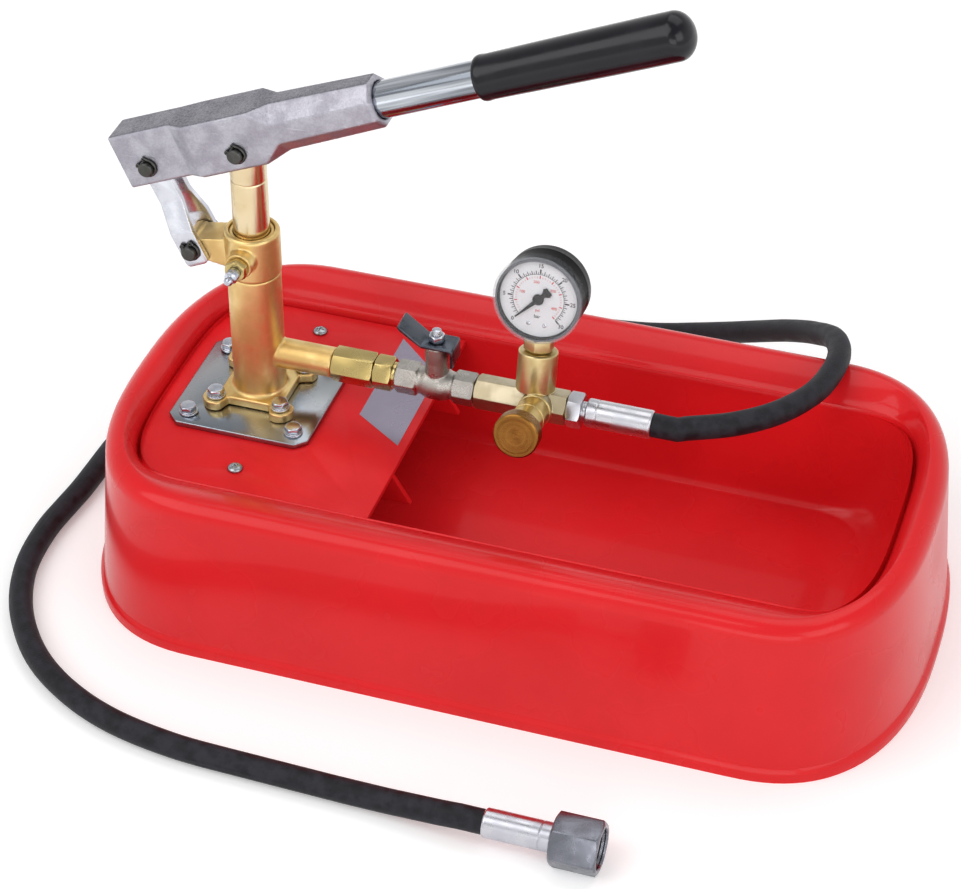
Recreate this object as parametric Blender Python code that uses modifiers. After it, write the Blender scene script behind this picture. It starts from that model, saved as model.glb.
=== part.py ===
"""Hydrostatic test pump: a hand-levered plunger pump on an open water tank, with its valves, gauge and hose.

Metres, +Z up. The origin is the centre of the tank's foot, on the ground. +X points along the tank from the
pump to the open basin, and -Y to the user, whom the gauge faces.
"""

import math

import bmesh
import bpy
from mathutils import Matrix, Vector

# Fits
GAP = 0.0003
HOLE_GAP = 0.0003
OVERRUN = 0.002
MERGE = 0.00001
ROUND_SIDES = 28
PIPE_SIDES = 20
SMALL_SIDES = 12
SHARP_ANGLE = math.radians(35)

# Tank
TANK_LENGTH = 0.450
TANK_WIDTH = 0.245
TANK_HEIGHT = 0.0922
TANK_WALL = 0.0025
TANK_END_DEPTH = 0.0837
TANK_LEAN = 0.0062
LIP_HEIGHT = 0.006
LIP_PROUD = 0.002
RIM_RADIUS = 0.0095
OUTER_BULGE_share = 2.48
BASIN_BULGE_share = 3.5
SHOULDER_DROP = 0.0122
SHOULDER_END = 0.0088
SHOULDER_SIDE = 0.0234
BASIN_END_DEPTH = 0.045
FLOOR_HEIGHT = 0.020
WALL_END_LEAN = 0.0265
WALL_SIDE_LEAN = 0.0125
RING_STEPS = 8
RIM_STEPS = 4
# Each row gives the drop, then how far the ends and the sides have come in
shoulder_shares = ((0.05, 0.20, 0.18), (0.22, 0.48, 0.44), (0.50, 0.76, 0.72), (0.78, 0.93, 0.90), (1, 1, 1))
basin_shares = ((0.50, 0.14, 0.42), (0.76, 0.33, 0.60), (0.92, 0.60, 0.74), (0.985, 0.84, 0.90), (1, 1, 1))

# Deck plate
DECK_TOP = 0.0803
DECK_THICK = 0.003
DECK_GAP = 0.0014
DECK_OVERHANG = 0.0882
DECK_PAD_WIDTH = 0.072
DECK_PAD_THICK = 0.005
GUSSET_Y = 0.040
GUSSET_THICK = 0.003
GUSSET_HEIGHT = 0.017
GUSSET_REACH = 0.010
GUSSET_DEPTH = 0.030
SCREW_OFFSET_X = 0.010
SCREW_INSET = 0.017
SCREW_RADIUS = 0.002
SCREW_HEAD_RADIUS = 0.004
SCREW_HEAD_HEIGHT = 0.0022
SCREW_LENGTH = 0.012
SCREW_RECESS = 0.0012
POST_RADIUS = 0.006

# Base plate and bolts
COLUMN_SETBACK = 0.0775
PLATE_WIDTH = 0.078
PLATE_THICK = 0.003
PLATE_CORNER = 0.006
PLATE_BOLT_SPREAD = 0.0295
FLANGE_BOLT_SPREAD = 0.018
BOLT_RADIUS = 0.0025
BOLT_HEAD_FLATS = 0.008
BOLT_HEAD_HEIGHT = 0.0035
WASHER_RADIUS = 0.0051
WASHER_THICK = 0.001
PLATE_BOLT_GRIP = 0.009

# Pump column
FLANGE_THICK = 0.0052
FLANGE_WAIST = 0.0175
LUG_RADIUS = 0.0072
LUG_STEPS = 5
COLUMN_RADIUS = 0.0140
COLUMN_HEIGHT = 0.0781
COLUMN_FOOT = 0.0024
BARREL_RADIUS = 0.0110
SPIGOT_RADIUS = 0.0123
SPIGOT_LENGTH = 0.008
PORT_RISE = 0.0276
STUB_RADIUS = 0.0081
STUB_REACH = 0.0428
PORT_RADIUS = 0.0050
CAGE_RADIUS = 0.0035
CAGE_THICK = 0.0025

# Head, gland and nipple
HEAD_RADIUS = 0.0145
HEAD_HEIGHT = 0.0252
HEAD_EDGE = 0.0012
SEAL_POCKET_RADIUS = 0.0119
SEAL_POCKET_DEPTH = 0.0115
SEAL_HEIGHT = 0.0065
GLAND_HEIGHT = 0.0032
EAR_REACH = 0.0295
EAR_DROP = 0.013
EAR_RADIUS = 0.0062
EAR_HALF = 0.0085
EAR_ROOT_HIGH = 0.0105
EAR_ROOT_LOW = 0.0100
BOSS_RADIUS = 0.0070
BOSS_REACH = 0.0200
BOSS_DROP = 0.0112
BUSH_FLATS = 0.0105
BUSH_THICK = 0.0050
BUSH_THREAD = 0.0030
NIPPLE_LENGTH = 0.0100
NIPPLE_RADIUS = 0.0035
NIPPLE_BALL = 0.0024

# Plunger
PLUNGER_RADIUS = 0.0095
PLUNGER_BORE_GAP = 0.0003
PLUNGER_DOWN = 0.0340
EYE_RISE = 0.0525
EYE_TOP = 0.0095
EYE_CHAMFER = 0.003
GROOVE_DROP = 0.0222
GROOVE_WIDTH = 0.0010
GROOVE_DEPTH = 0.0004

# Suction
SUCTION_RADIUS = 0.0048
SUCTION_BORE = 0.0030
SUCTION_ENTRY = 0.0035
BALL_SIDE_GAP = 0.0006
BALL_LIFT = 0.0022
STRAINER_RADIUS = 0.0090
STRAINER_HEIGHT = 0.0160
STRAINER_FLOOR_GAP = 0.0030
STRAINER_WALL = 0.0012

# Delivery valve and union
DELIVERY_FLATS = 0.0166
DELIVERY_LENGTH = 0.0224
DELIVERY_SEAT = 0.0040
DELIVERY_SEAT_BORE = 0.0026
DELIVERY_BALL_RADIUS = 0.0035
DELIVERY_CHAMBER = 0.0053
SPRING_RADIUS = 0.0030
SPRING_WIRE = 0.0004
SPRING_TURNS = 3
SPRING_STEPS = 8
THREAD_LENGTH = 0.0050
THREAD_BORE = 0.0030
UNION_FLATS = 0.0162
UNION_LENGTH = 0.0100
UNION_COLLAR = 0.0066
UNION_COLLAR_LENGTH = 0.0016

# Shut-off valve
VALVE_FLATS = 0.0158
VALVE_HEX_LENGTH = 0.0118
VALVE_LENGTH = 0.0430
VALVE_BALL_RADIUS = 0.0060
VALVE_BORE = 0.0034
VALVE_SHELL = 0.0088
VALVE_WAIST = 0.0072
VALVE_NECK_RADIUS = 0.0062
VALVE_NECK_TOP = 0.0250
STEM_RADIUS = 0.0024
STEM_THREAD_TOP = 0.0340
HANDLE_THICK = 0.0016
HANDLE_HALF = 0.0068
HANDLE_HUB_REACH = 0.0065
WING_REACH = 0.0187
WING_RISE = 0.0095
TAB_REACH = 0.0105
TAB_DROP = 0.0095
NUT_FLATS = 0.0075
NUT_HEIGHT = 0.0040

# Manifold, gauge and drain
MANIFOLD_LEAN = math.radians(13)
MANIFOLD_FLATS = 0.0160
MANIFOLD_LENGTH = 0.0490
MANIFOLD_BORE = 0.0036
POST_OFFSET = 0.0307
GAUGE_POST_RADIUS = 0.0103
GAUGE_POST_TOP = 0.0300
GAUGE_THREAD_RADIUS = 0.0050
GAUGE_THREAD_LENGTH = 0.0080
GAUGE_HEX_FLATS = 0.0140
GAUGE_HEX_HEIGHT = 0.0070
GAUGE_RADIUS = 0.0234
GAUGE_DEPTH = 0.0245
GAUGE_WALL = 0.0016
GAUGE_NECK_RADIUS = 0.0040
CASE_RADIUS = 0.0222
BEZEL_DEPTH = 0.0070
BEZEL_WALL = 0.0012
DIAL_SETBACK = 0.0020
DIAL_THICK = 0.0008
POINTER_LENGTH = 0.0160
POINTER_TAIL = 0.0075
POINTER_THICK = 0.0005
POINTER_HALF = 0.0011
POINTER_HUB_RADIUS = 0.0018
POINTER_ARBOR_RADIUS = 0.0006
POINTER_ZERO = math.radians(225)
MOVEMENT_SIZE = 0.0130
MOVEMENT_THICK = 0.0050
BOURDON_RADIUS = 0.0150
BOURDON_TUBE = 0.0016
BOURDON_SWEEP = math.radians(250)
BOURDON_POINTS = 14
DRAIN_OFFSET = 0.0338
DRAIN_BONNET_RADIUS = 0.0085
DRAIN_BOSS_REACH = 0.0115
DRAIN_BOSS_RADIUS = 0.0090
DRAIN_BONNET_LENGTH = 0.0100
DRAIN_NECK_RADIUS = 0.0080
DRAIN_NECK_LENGTH = 0.0125
DRAIN_THREAD_RADIUS = 0.0055
DRAIN_SPINDLE_RADIUS = 0.0028
DRAIN_SEAT_RADIUS = 0.0018
DRAIN_SEAT_REACH = 0.0058
DRAIN_TIP_RADIUS = 0.0012
DRAIN_TIP_LENGTH = 0.0017
DRAIN_KNOB_HOLE = 0.0050
DRAIN_KNOB_RADIUS = 0.0116
DRAIN_KNOB_THICK = 0.0080
DRAIN_KNOB_FACE = 0.0440
DRAIN_KNOB_EDGE = 0.0006

# Hose and its fittings
FITTING_FLATS = 0.0165
FITTING_HEX_LENGTH = 0.0077
FITTING_NECK_RADIUS = 0.0052
FITTING_NECK_LENGTH = 0.0020
FERRULE_RADIUS = 0.0075
FERRULE_LENGTH = 0.0345
FERRULE_COLLAR = 0.0050
FERRULE_GROOVE = 0.0006
TAIL_LENGTH = 0.0040
HOSE_RADIUS = 0.00635
NUT_AF = 0.0248
NUT_LENGTH = 0.0240
NUT_BORE = 0.0102
NUT_BACK = 0.0040
NUT_EDGE = 0.0010
CONE_COLLAR = 0.0094
CONE_TIP = 0.0060
CONE_LENGTH = 0.0130
FAR_END_X = 0.101
FAR_END_Y = -0.2006

# Lever
LEVER_ANGLE = math.radians(23)
CAST_REAR = 0.0690
CAST_REAR_HALF = 0.0100
CAST_REAR_HIGH = 0.0215
CAST_REAR_LOW = 0.0085
CHEEK_HALF = 0.0135
CHEEK_HIGH = 0.0203
CHEEK_LOW = 0.0094
CHEEK_BACK = 0.0240
CHEEK_FRONT = 0.0140
CHEEK_FLARE = 0.0085
CAST_EDGE = 0.0009
CAST_ROOF = 0.0042
SOCKET_FLATS = 0.0270
SOCKET_TAPER = 0.0020
SOCKET_START = 0.0250
SOCKET_END = 0.0815
SOCKET_CHAMFER = 0.0015
OCTAGON_share = 0.2929
ROD_SLOT_BACK = 0.0215
ROD_SLOT_FRONT = 0.0140
TUBE_RISE = 0.00605
TUBE_RADIUS = 0.0094
TUBE_WALL = 0.0015
TUBE_INSERT = 0.0480
GRIP_START = 0.1360
GRIP_LENGTH = 0.1120
GRIP_NECK_RADIUS = 0.0110
GRIP_RADIUS = 0.0120
GRIP_END_WALL = 0.0120
GRIP_DOME = 0.0095
GRIP_LIP = 0.0010
DOME_STEPS = 5

# Pins, clips and links
PIN_RADIUS = 0.0040
PIN_STICK_OUT = 0.0028
PIN_HEAD_RADIUS = 0.0056
PIN_HEAD_THICK = 0.0016
CLIP_RADIUS = 0.0060
CLIP_THICK = 0.0010
CLIP_MOUTH = 0.0030
CLIP_GROOVE = 0.0004
LINK_ARM = 0.0544
LINK_ARM_RISE = 0.0015
STRAP_HALF = 0.0065
STRAP_THICK = 0.0030
STRAP_TOP_Y = 0.0035
STRAP_EYE_GAP = 0.0034
STRAP_EYE_WALL = 0.0019
STRAP_BEND_LOW = 0.0115
STRAP_BEND_HIGH = 0.0270
STRAP_FOOT = 0.0088
STRAP_CORNER = 0.0025

# Where the hose runs first: past the ferrule's mouth in X, a share of the tank's half width, and above the rim
HOSE_OVER_RIM = (
    (0.0174, 0.0245, 0.0191),
    (0.0384, 0.1306, 0.0173),
    (0.0574, 0.3020, 0.0143),
    (0.0709, 0.5388, 0.0108),
    (0.0749, 0.8000, 0.0081),
    (0.0684, 1.0122, 0.0018),
)
# Where it runs next: shares of the tank's half length, half width and height
HOSE_ROUND_TANK_shares = (
    (0.5378, 1.1918, 0.7961),
    (0.4489, 1.3469, 0.6226),
    (0.3378, 1.4939, 0.4165),
    (0.2000, 1.6245, 0.2104),
    (0.0444, 1.6980, 0.0586),
    (-0.1556, 1.7061, 0.0000),
    (-0.3778, 1.6490, 0.0000),
    (-0.6000, 1.5102, 0.0000),
    (-0.8000, 1.2898, 0.0000),
    (-0.9556, 0.9878, 0.0000),
    (-1.0533, 0.6367, 0.0000),
    (-1.0933, 0.2449, 0.0000),
    (-1.1067, -0.1633, 0.0000),
    (-1.1244, -0.4898, 0.0000),
    (-1.1067, -0.7837, 0.0000),
    (-1.0400, -1.0612, 0.0000),
    (-0.9244, -1.3061, 0.0000),
    (-0.7556, -1.4857, 0.0000),
    (-0.5556, -1.5714, 0.0000),
    (-0.3111, -1.5918, 0.0000),
    (-0.0889, -1.6082, 0.0087),
    (0.0667, -1.6286, 0.0423),
)
HOSE_SPACING = 0.020
HOSE_BEVEL_STEPS = 2
ROUTE_STEPS = 20

# Heights and places that follow from the sizes
COLUMN_X = COLUMN_SETBACK - TANK_LENGTH / 2
DECK_EDGE_X = COLUMN_X + DECK_OVERHANG
SHOULDER_Z = TANK_HEIGHT - SHOULDER_DROP
CREST_X = TANK_LENGTH / 2 - LIP_PROUD - TANK_LEAN - RIM_RADIUS
CREST_Y = TANK_WIDTH / 2 - LIP_PROUD - TANK_LEAN - RIM_RADIUS
SCREW_Y = CREST_Y - SHOULDER_SIDE - DECK_GAP - SCREW_INSET
DECK_BOTTOM = DECK_TOP - DECK_THICK
PLATE_BOTTOM = DECK_TOP + GAP
PLATE_TOP = PLATE_BOTTOM + PLATE_THICK
FLANGE_BOTTOM = PLATE_TOP + GAP
FLANGE_TOP = FLANGE_BOTTOM + FLANGE_THICK
PIPE_Z = FLANGE_BOTTOM + PORT_RISE
COLUMN_TOP = FLANGE_BOTTOM + COLUMN_HEIGHT
HEAD_BOTTOM = COLUMN_TOP + GAP
HEAD_TOP = HEAD_BOTTOM + HEAD_HEIGHT
EYE_Z = HEAD_TOP + EYE_RISE
EAR_X = COLUMN_X - EAR_REACH
EAR_Z = HEAD_TOP - EAR_DROP
SUCTION_TOP = FLANGE_BOTTOM + SUCTION_ENTRY
SUCTION_BALL_RADIUS = SUCTION_RADIUS - BALL_SIDE_GAP
SUCTION_BALL_Z = SUCTION_TOP + math.sqrt(SUCTION_BALL_RADIUS**2 - SUCTION_BORE**2) + GAP
CAGE_BOTTOM = SUCTION_BALL_Z + SUCTION_BALL_RADIUS + BALL_LIFT + GAP - FLANGE_BOTTOM
DELIVERY_X = COLUMN_X + STUB_REACH + GAP
UNION_X = DELIVERY_X + DELIVERY_LENGTH + GAP
VALVE_X = UNION_X + UNION_LENGTH + UNION_COLLAR_LENGTH + GAP
MANIFOLD_X = VALVE_X + VALVE_LENGTH + GAP
FITTING_X = MANIFOLD_X + MANIFOLD_LENGTH + GAP
FERRULE_X = FITTING_X + FITTING_HEX_LENGTH + FITTING_NECK_LENGTH + GAP
HOSE_X = FERRULE_X + FERRULE_LENGTH + GAP
VALVE_STEM_X = VALVE_X + VALVE_LENGTH / 2
HANDLE_Z = PIPE_Z + VALVE_NECK_TOP + GAP
GAUGE_AXIS_Z = GAUGE_POST_TOP + GAP + GAUGE_HEX_HEIGHT + GAUGE_RADIUS
LINK_TOP = Vector((
    COLUMN_X - LINK_ARM * math.cos(LEVER_ANGLE) - LINK_ARM_RISE * math.sin(LEVER_ANGLE),
    0,
    EYE_Z - LINK_ARM * math.sin(LEVER_ANGLE) + LINK_ARM_RISE * math.cos(LEVER_ANGLE),
))
LINK_FOOT = Vector((EAR_X, 0, EAR_Z))
LINK_LENGTH = (LINK_TOP - LINK_FOOT).length

UP = Vector((0, 0, 1))
RIGHT = Vector((1, 0, 0))
FRONT = Vector((0, -1, 0))


# Scene, collections and materials
for old in list(bpy.data.objects):
    bpy.data.objects.remove(old)

PUMP = bpy.data.collections.new("hydrostatic_test_pump")
CUTTERS = bpy.data.collections.new("cutters")
for group in (PUMP, CUTTERS):
    bpy.context.scene.collection.children.link(group)


def make_finish(name, colour, roughness, metallic=0.0, alpha=1.0):
    """A Principled material of one colour."""
    material = bpy.data.materials.new(name)
    material.use_nodes = True
    shader = material.node_tree.nodes["Principled BSDF"]
    shader.inputs["Base Color"].default_value = (*colour, 1)
    shader.inputs["Roughness"].default_value = roughness
    shader.inputs["Metallic"].default_value = metallic
    shader.inputs["Alpha"].default_value = alpha
    return material


RED = make_finish("red_tank", (0.74, 0.024, 0.030), 0.32)
DECK_RED = make_finish("red_deck", (0.70, 0.026, 0.032), 0.38)
ZINC = make_finish("zinc_plate", (0.52, 0.57, 0.62), 0.30, 1.0)
BRASS = make_finish("cast_brass", (0.66, 0.46, 0.17), 0.38, 1.0)
TURNED_BRASS = make_finish("turned_brass", (0.72, 0.52, 0.20), 0.24, 1.0)
STEEL = make_finish("bright_steel", (0.66, 0.67, 0.69), 0.22, 1.0)
DARK_STEEL = make_finish("black_pins", (0.07, 0.07, 0.075), 0.40, 1.0)
NICKEL = make_finish("nickel_valve", (0.58, 0.55, 0.50), 0.34, 1.0)
BLUED = make_finish("blued_handle", (0.10, 0.11, 0.13), 0.32, 1.0)
CAST = make_finish("cast_aluminium", (0.44, 0.43, 0.46), 0.46, 1.0)
BLACK = make_finish("gauge_black", (0.015, 0.015, 0.017), 0.28)
GRIP_BLACK = make_finish("grip_black", (0.012, 0.012, 0.014), 0.18)
HOSE_BLACK = make_finish("hose_rubber", (0.018, 0.018, 0.020), 0.62)
WHITE = make_finish("dial_white", (0.86, 0.87, 0.88), 0.45)
CLEAR = make_finish("clear_lens", (0.90, 0.92, 0.94), 0.05, 0.0, 0.25)
SEAL = make_finish("seal_white", (0.80, 0.79, 0.74), 0.50)


# Building blocks
def add(name, mesh, finish, place=(0, 0, 0), along=UP, parent=None):
    """Put a mesh in the pump, its own +Z turned to the direction given."""
    piece = bpy.data.objects.new(name, mesh)
    PUMP.objects.link(piece)
    piece.location = place
    piece.rotation_euler = UP.rotation_difference(Vector(along)).to_euler()
    piece.parent = parent
    if finish is not None:
        if not mesh.materials:
            mesh.materials.append(finish)
        own = finish.copy()
        own.name = name + "_" + finish.name
        piece.material_slots[0].link = "OBJECT"
        piece.material_slots[0].material = own
    return piece


def add_empty(name, place, turn, parent=None):
    """A frame that pieces are placed in."""
    frame = bpy.data.objects.new(name, None)
    PUMP.objects.link(frame)
    frame.location = place
    frame.rotation_euler = turn
    frame.parent = parent
    return frame


def mesh_from(shape):
    """A bmesh as a smooth-shaded mesh whose hard edges stay sharp."""
    mesh = bpy.data.meshes.new("shape")
    shape.to_mesh(mesh)
    shape.free()
    mesh.shade_smooth()
    mesh.set_sharp_from_angle(angle=SHARP_ANGLE)
    return mesh


def realised(maker):
    """What a curve or a modified object makes, as a closed mesh; the maker is removed."""
    bpy.context.view_layer.update()
    graph = bpy.context.evaluated_depsgraph_get()
    mesh = bpy.data.meshes.new_from_object(maker.evaluated_get(graph))
    bpy.data.objects.remove(maker)
    shape = bmesh.new()
    shape.from_mesh(mesh)
    bmesh.ops.remove_doubles(shape, verts=shape.verts, dist=MERGE)
    bpy.data.meshes.remove(mesh)
    return mesh_from(shape)


def round_bar(radius, length, sides=PIPE_SIDES, tip=None):
    """A cylinder, or a cone to a tip radius, that stands on the local origin."""
    shape = bmesh.new()
    bmesh.ops.create_cone(
        shape, cap_ends=True, segments=sides, radius1=radius, radius2=radius if tip is None else tip, depth=length
    )
    bmesh.ops.translate(shape, verts=shape.verts, vec=(0, 0, length / 2))
    return mesh_from(shape)


def many_sided(sides, flats, length, start=0.0):
    """A bar with flat sides, from a height along local Z; one side faces local X."""
    shape = bmesh.new()
    corner = flats / 2 / math.cos(math.pi / sides)
    bmesh.ops.create_cone(shape, cap_ends=True, segments=sides, radius1=corner, radius2=corner, depth=length)
    bmesh.ops.rotate(shape, verts=shape.verts, matrix=Matrix.Rotation(math.pi / sides - math.pi / 2, 3, "Z"))
    bmesh.ops.translate(shape, verts=shape.verts, vec=(0, 0, start + length / 2))
    return mesh_from(shape)


def block(size, centre=(0, 0, 0)):
    """A box about a centre."""
    shape = bmesh.new()
    bmesh.ops.create_cube(shape, size=1)
    bmesh.ops.scale(shape, verts=shape.verts, vec=size)
    bmesh.ops.translate(shape, verts=shape.verts, vec=centre)
    return mesh_from(shape)


def ball(radius, steps=SMALL_SIDES):
    """A sphere about the local origin."""
    shape = bmesh.new()
    bmesh.ops.create_uvsphere(shape, u_segments=steps, v_segments=steps // 2, radius=radius)
    return mesh_from(shape)


def turned(profile, sides=PIPE_SIDES, hollow=False):
    """A shape turned about local Z from (radius, height) points that run down its outer side.

    A hollow profile comes back up the bore and closes on its first point.
    """
    outline = bpy.data.meshes.new("profile")
    edges = [(i, i + 1) for i in range(len(profile) - 1)]
    if hollow:
        edges.append((len(profile) - 1, 0))
    outline.from_pydata([(radius, 0, height) for radius, height in profile], edges, [])
    maker = bpy.data.objects.new("profile", outline)
    PUMP.objects.link(maker)
    screw = maker.modifiers.new("Turn", "SCREW")
    screw.steps = screw.render_steps = sides
    screw.use_merge_vertices = True
    screw.merge_threshold = MERGE
    return realised(maker)


def slab(outline, thickness):
    """A flat plate of an outline in local X and Y, half its thickness to each side of local Z = 0."""
    curve = bpy.data.curves.new("outline", "CURVE")
    curve.dimensions = "2D"
    curve.fill_mode = "BOTH"
    curve.extrude = thickness / 2
    spline = curve.splines.new("POLY")
    spline.points.add(len(outline) - 1)
    for point, (x, y) in zip(spline.points, outline):
        point.co = (x, y, 0, 1)
    spline.use_cyclic_u = True
    maker = bpy.data.objects.new("outline", curve)
    PUMP.objects.link(maker)
    return realised(maker)


def tube(points, radius, bevel=HOSE_BEVEL_STEPS):
    """A round bar along points."""
    curve = bpy.data.curves.new("path", "CURVE")
    curve.dimensions = "3D"
    curve.bevel_depth = radius
    curve.bevel_resolution = bevel
    curve.use_fill_caps = True
    spline = curve.splines.new("POLY")
    spline.points.add(len(points) - 1)
    for point, place in zip(spline.points, points):
        point.co = (*place, 1)
    maker = bpy.data.objects.new("path", curve)
    PUMP.objects.link(maker)
    return realised(maker)


def loft(rings, capped=(True, True)):
    """Skin a row of closed rings with as many points each, and close the ends asked for."""
    shape = bmesh.new()
    rows = [[shape.verts.new(point) for point in ring] for ring in rings]
    for row, following in zip(rows, rows[1:]):
        for i, corner in enumerate(row):
            beside = (i + 1) % len(row)
            shape.faces.new((corner, row[beside], following[beside], following[i]))
    for row, close in zip((rows[0][::-1], rows[-1]), capped):
        if close:
            shape.faces.new(row)
    return mesh_from(shape)


def arc(radius, start, end, steps, centre=(0, 0)):
    """Points of an arc, both ends among them, in degrees."""
    angles = [math.radians(start + (end - start) * i / steps) for i in range(steps + 1)]
    return [(centre[0] + radius * math.cos(a), centre[1] + radius * math.sin(a)) for a in angles]


def combine(piece, operation, mesh, place=(0, 0, 0), along=UP, parent=None):
    """Cut a shape out of a piece, join it on, or keep only what lies inside it."""
    cutter = add(piece.name + "_tool", mesh, None, place, along, parent)
    PUMP.objects.unlink(cutter)
    CUTTERS.objects.link(cutter)
    cutter.hide_render = True
    cutter.display_type = "WIRE"
    boolean = piece.modifiers.new(operation.title(), "BOOLEAN")
    boolean.operation = operation
    boolean.object = cutter
    return cutter


def cut(piece, mesh, place=(0, 0, 0), along=UP, parent=None):
    """Take a shape out of a piece."""
    return combine(piece, "DIFFERENCE", mesh, place, along, parent)


def join(piece, mesh, place=(0, 0, 0), along=UP, parent=None):
    """Make a shape part of a piece."""
    return combine(piece, "UNION", mesh, place, along, parent)


def drill(piece, radius, place, along=UP, length=None, parent=None, sides=SMALL_SIDES):
    """A round hole from a place, its length along a direction."""
    return cut(piece, round_bar(radius, length, sides), place, along, parent)


def bolt_places(spread):
    """Four places about the column's axis, in X and Y."""
    return [(COLUMN_X + sx * spread, sy * spread) for sx in (-1, 1) for sy in (-1, 1)]


# Tank
def level_ring(half_x, half_y, end_depth, bulge, height):
    """Points round a level outline with straight sides and bulging ends."""
    quarter = []
    for step in range(RING_STEPS + 1):
        angle = math.pi / 2 * step / RING_STEPS
        reach = half_x - end_depth + end_depth * math.cos(angle) ** (2 / bulge)
        quarter.append((reach, half_y * math.sin(angle) ** (2 / bulge)))
    right = quarter + [(-x, y) for x, y in quarter[::-1]]
    left = [(-x, -y) for x, y in quarter[1:]] + [(x, -y) for x, y in quarter[:0:-1]]
    return [(x, y, height) for x, y in right + left]


def basin_ring(end_in, side_in, height):
    """The basin's wall at a height, its ends and sides leaned in that far."""
    return level_ring(
        CREST_X - SHOULDER_END - end_in,
        CREST_Y - SHOULDER_SIDE - side_in,
        BASIN_END_DEPTH,
        BASIN_BULGE_share,
        height,
    )


def tank_rings():
    """The tank's skin, from the foot up the outside, over the rim and down to the floor."""
    foot = (TANK_LENGTH / 2, TANK_WIDTH / 2, TANK_END_DEPTH, OUTER_BULGE_share)
    rings = [level_ring(*foot, 0), level_ring(*foot, LIP_HEIGHT)]
    inset = LIP_PROUD
    rings.append(
        level_ring(foot[0] - inset, foot[1] - inset, foot[2] - inset, OUTER_BULGE_share, LIP_HEIGHT + LIP_PROUD)
    )
    crest_depth = TANK_END_DEPTH - LIP_PROUD - TANK_LEAN - RIM_RADIUS
    for step in range(RIM_STEPS + 1):
        angle = math.pi / 2 * step / RIM_STEPS
        out = RIM_RADIUS * math.cos(angle)
        height = TANK_HEIGHT - RIM_RADIUS + RIM_RADIUS * math.sin(angle)
        rings.append(level_ring(CREST_X + out, CREST_Y + out, crest_depth + out, OUTER_BULGE_share, height))
    for drop, end, side in shoulder_shares:
        rings.append(
            level_ring(
                CREST_X - SHOULDER_END * end,
                CREST_Y - SHOULDER_SIDE * side,
                crest_depth + (BASIN_END_DEPTH - crest_depth) * side,
                OUTER_BULGE_share + (BASIN_BULGE_share - OUTER_BULGE_share) * side,
                TANK_HEIGHT - SHOULDER_DROP * drop,
            )
        )
    for drop, end, side in basin_shares:
        depth = (SHOULDER_Z - FLOOR_HEIGHT) * drop
        rings.append(basin_ring(WALL_END_LEAN * end, WALL_SIDE_LEAN * side, SHOULDER_Z - depth))
    return rings


def make_tank():
    """An open shell with a basin inside, and two posts that the deck screws go into."""
    tank = add("tank", loft(tank_rings(), capped=(False, True)), RED)
    wall = tank.modifiers.new("Wall", "SOLIDIFY")
    wall.thickness = TANK_WALL
    wall.offset = -1
    wall.use_even_offset = True
    post_height = DECK_BOTTOM - GAP - FLOOR_HEIGHT + TANK_WALL / 2
    for side in (-1, 1):
        post = (COLUMN_X + SCREW_OFFSET_X, side * SCREW_Y, FLOOR_HEIGHT - TANK_WALL / 2)
        join(tank, round_bar(POST_RADIUS, post_height, SMALL_SIDES), post)
        hole = (post[0], post[1], DECK_BOTTOM - SCREW_LENGTH - GAP)
        drill(tank, SCREW_RADIUS + HOLE_GAP, hole, length=SCREW_LENGTH + OVERRUN)


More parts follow.
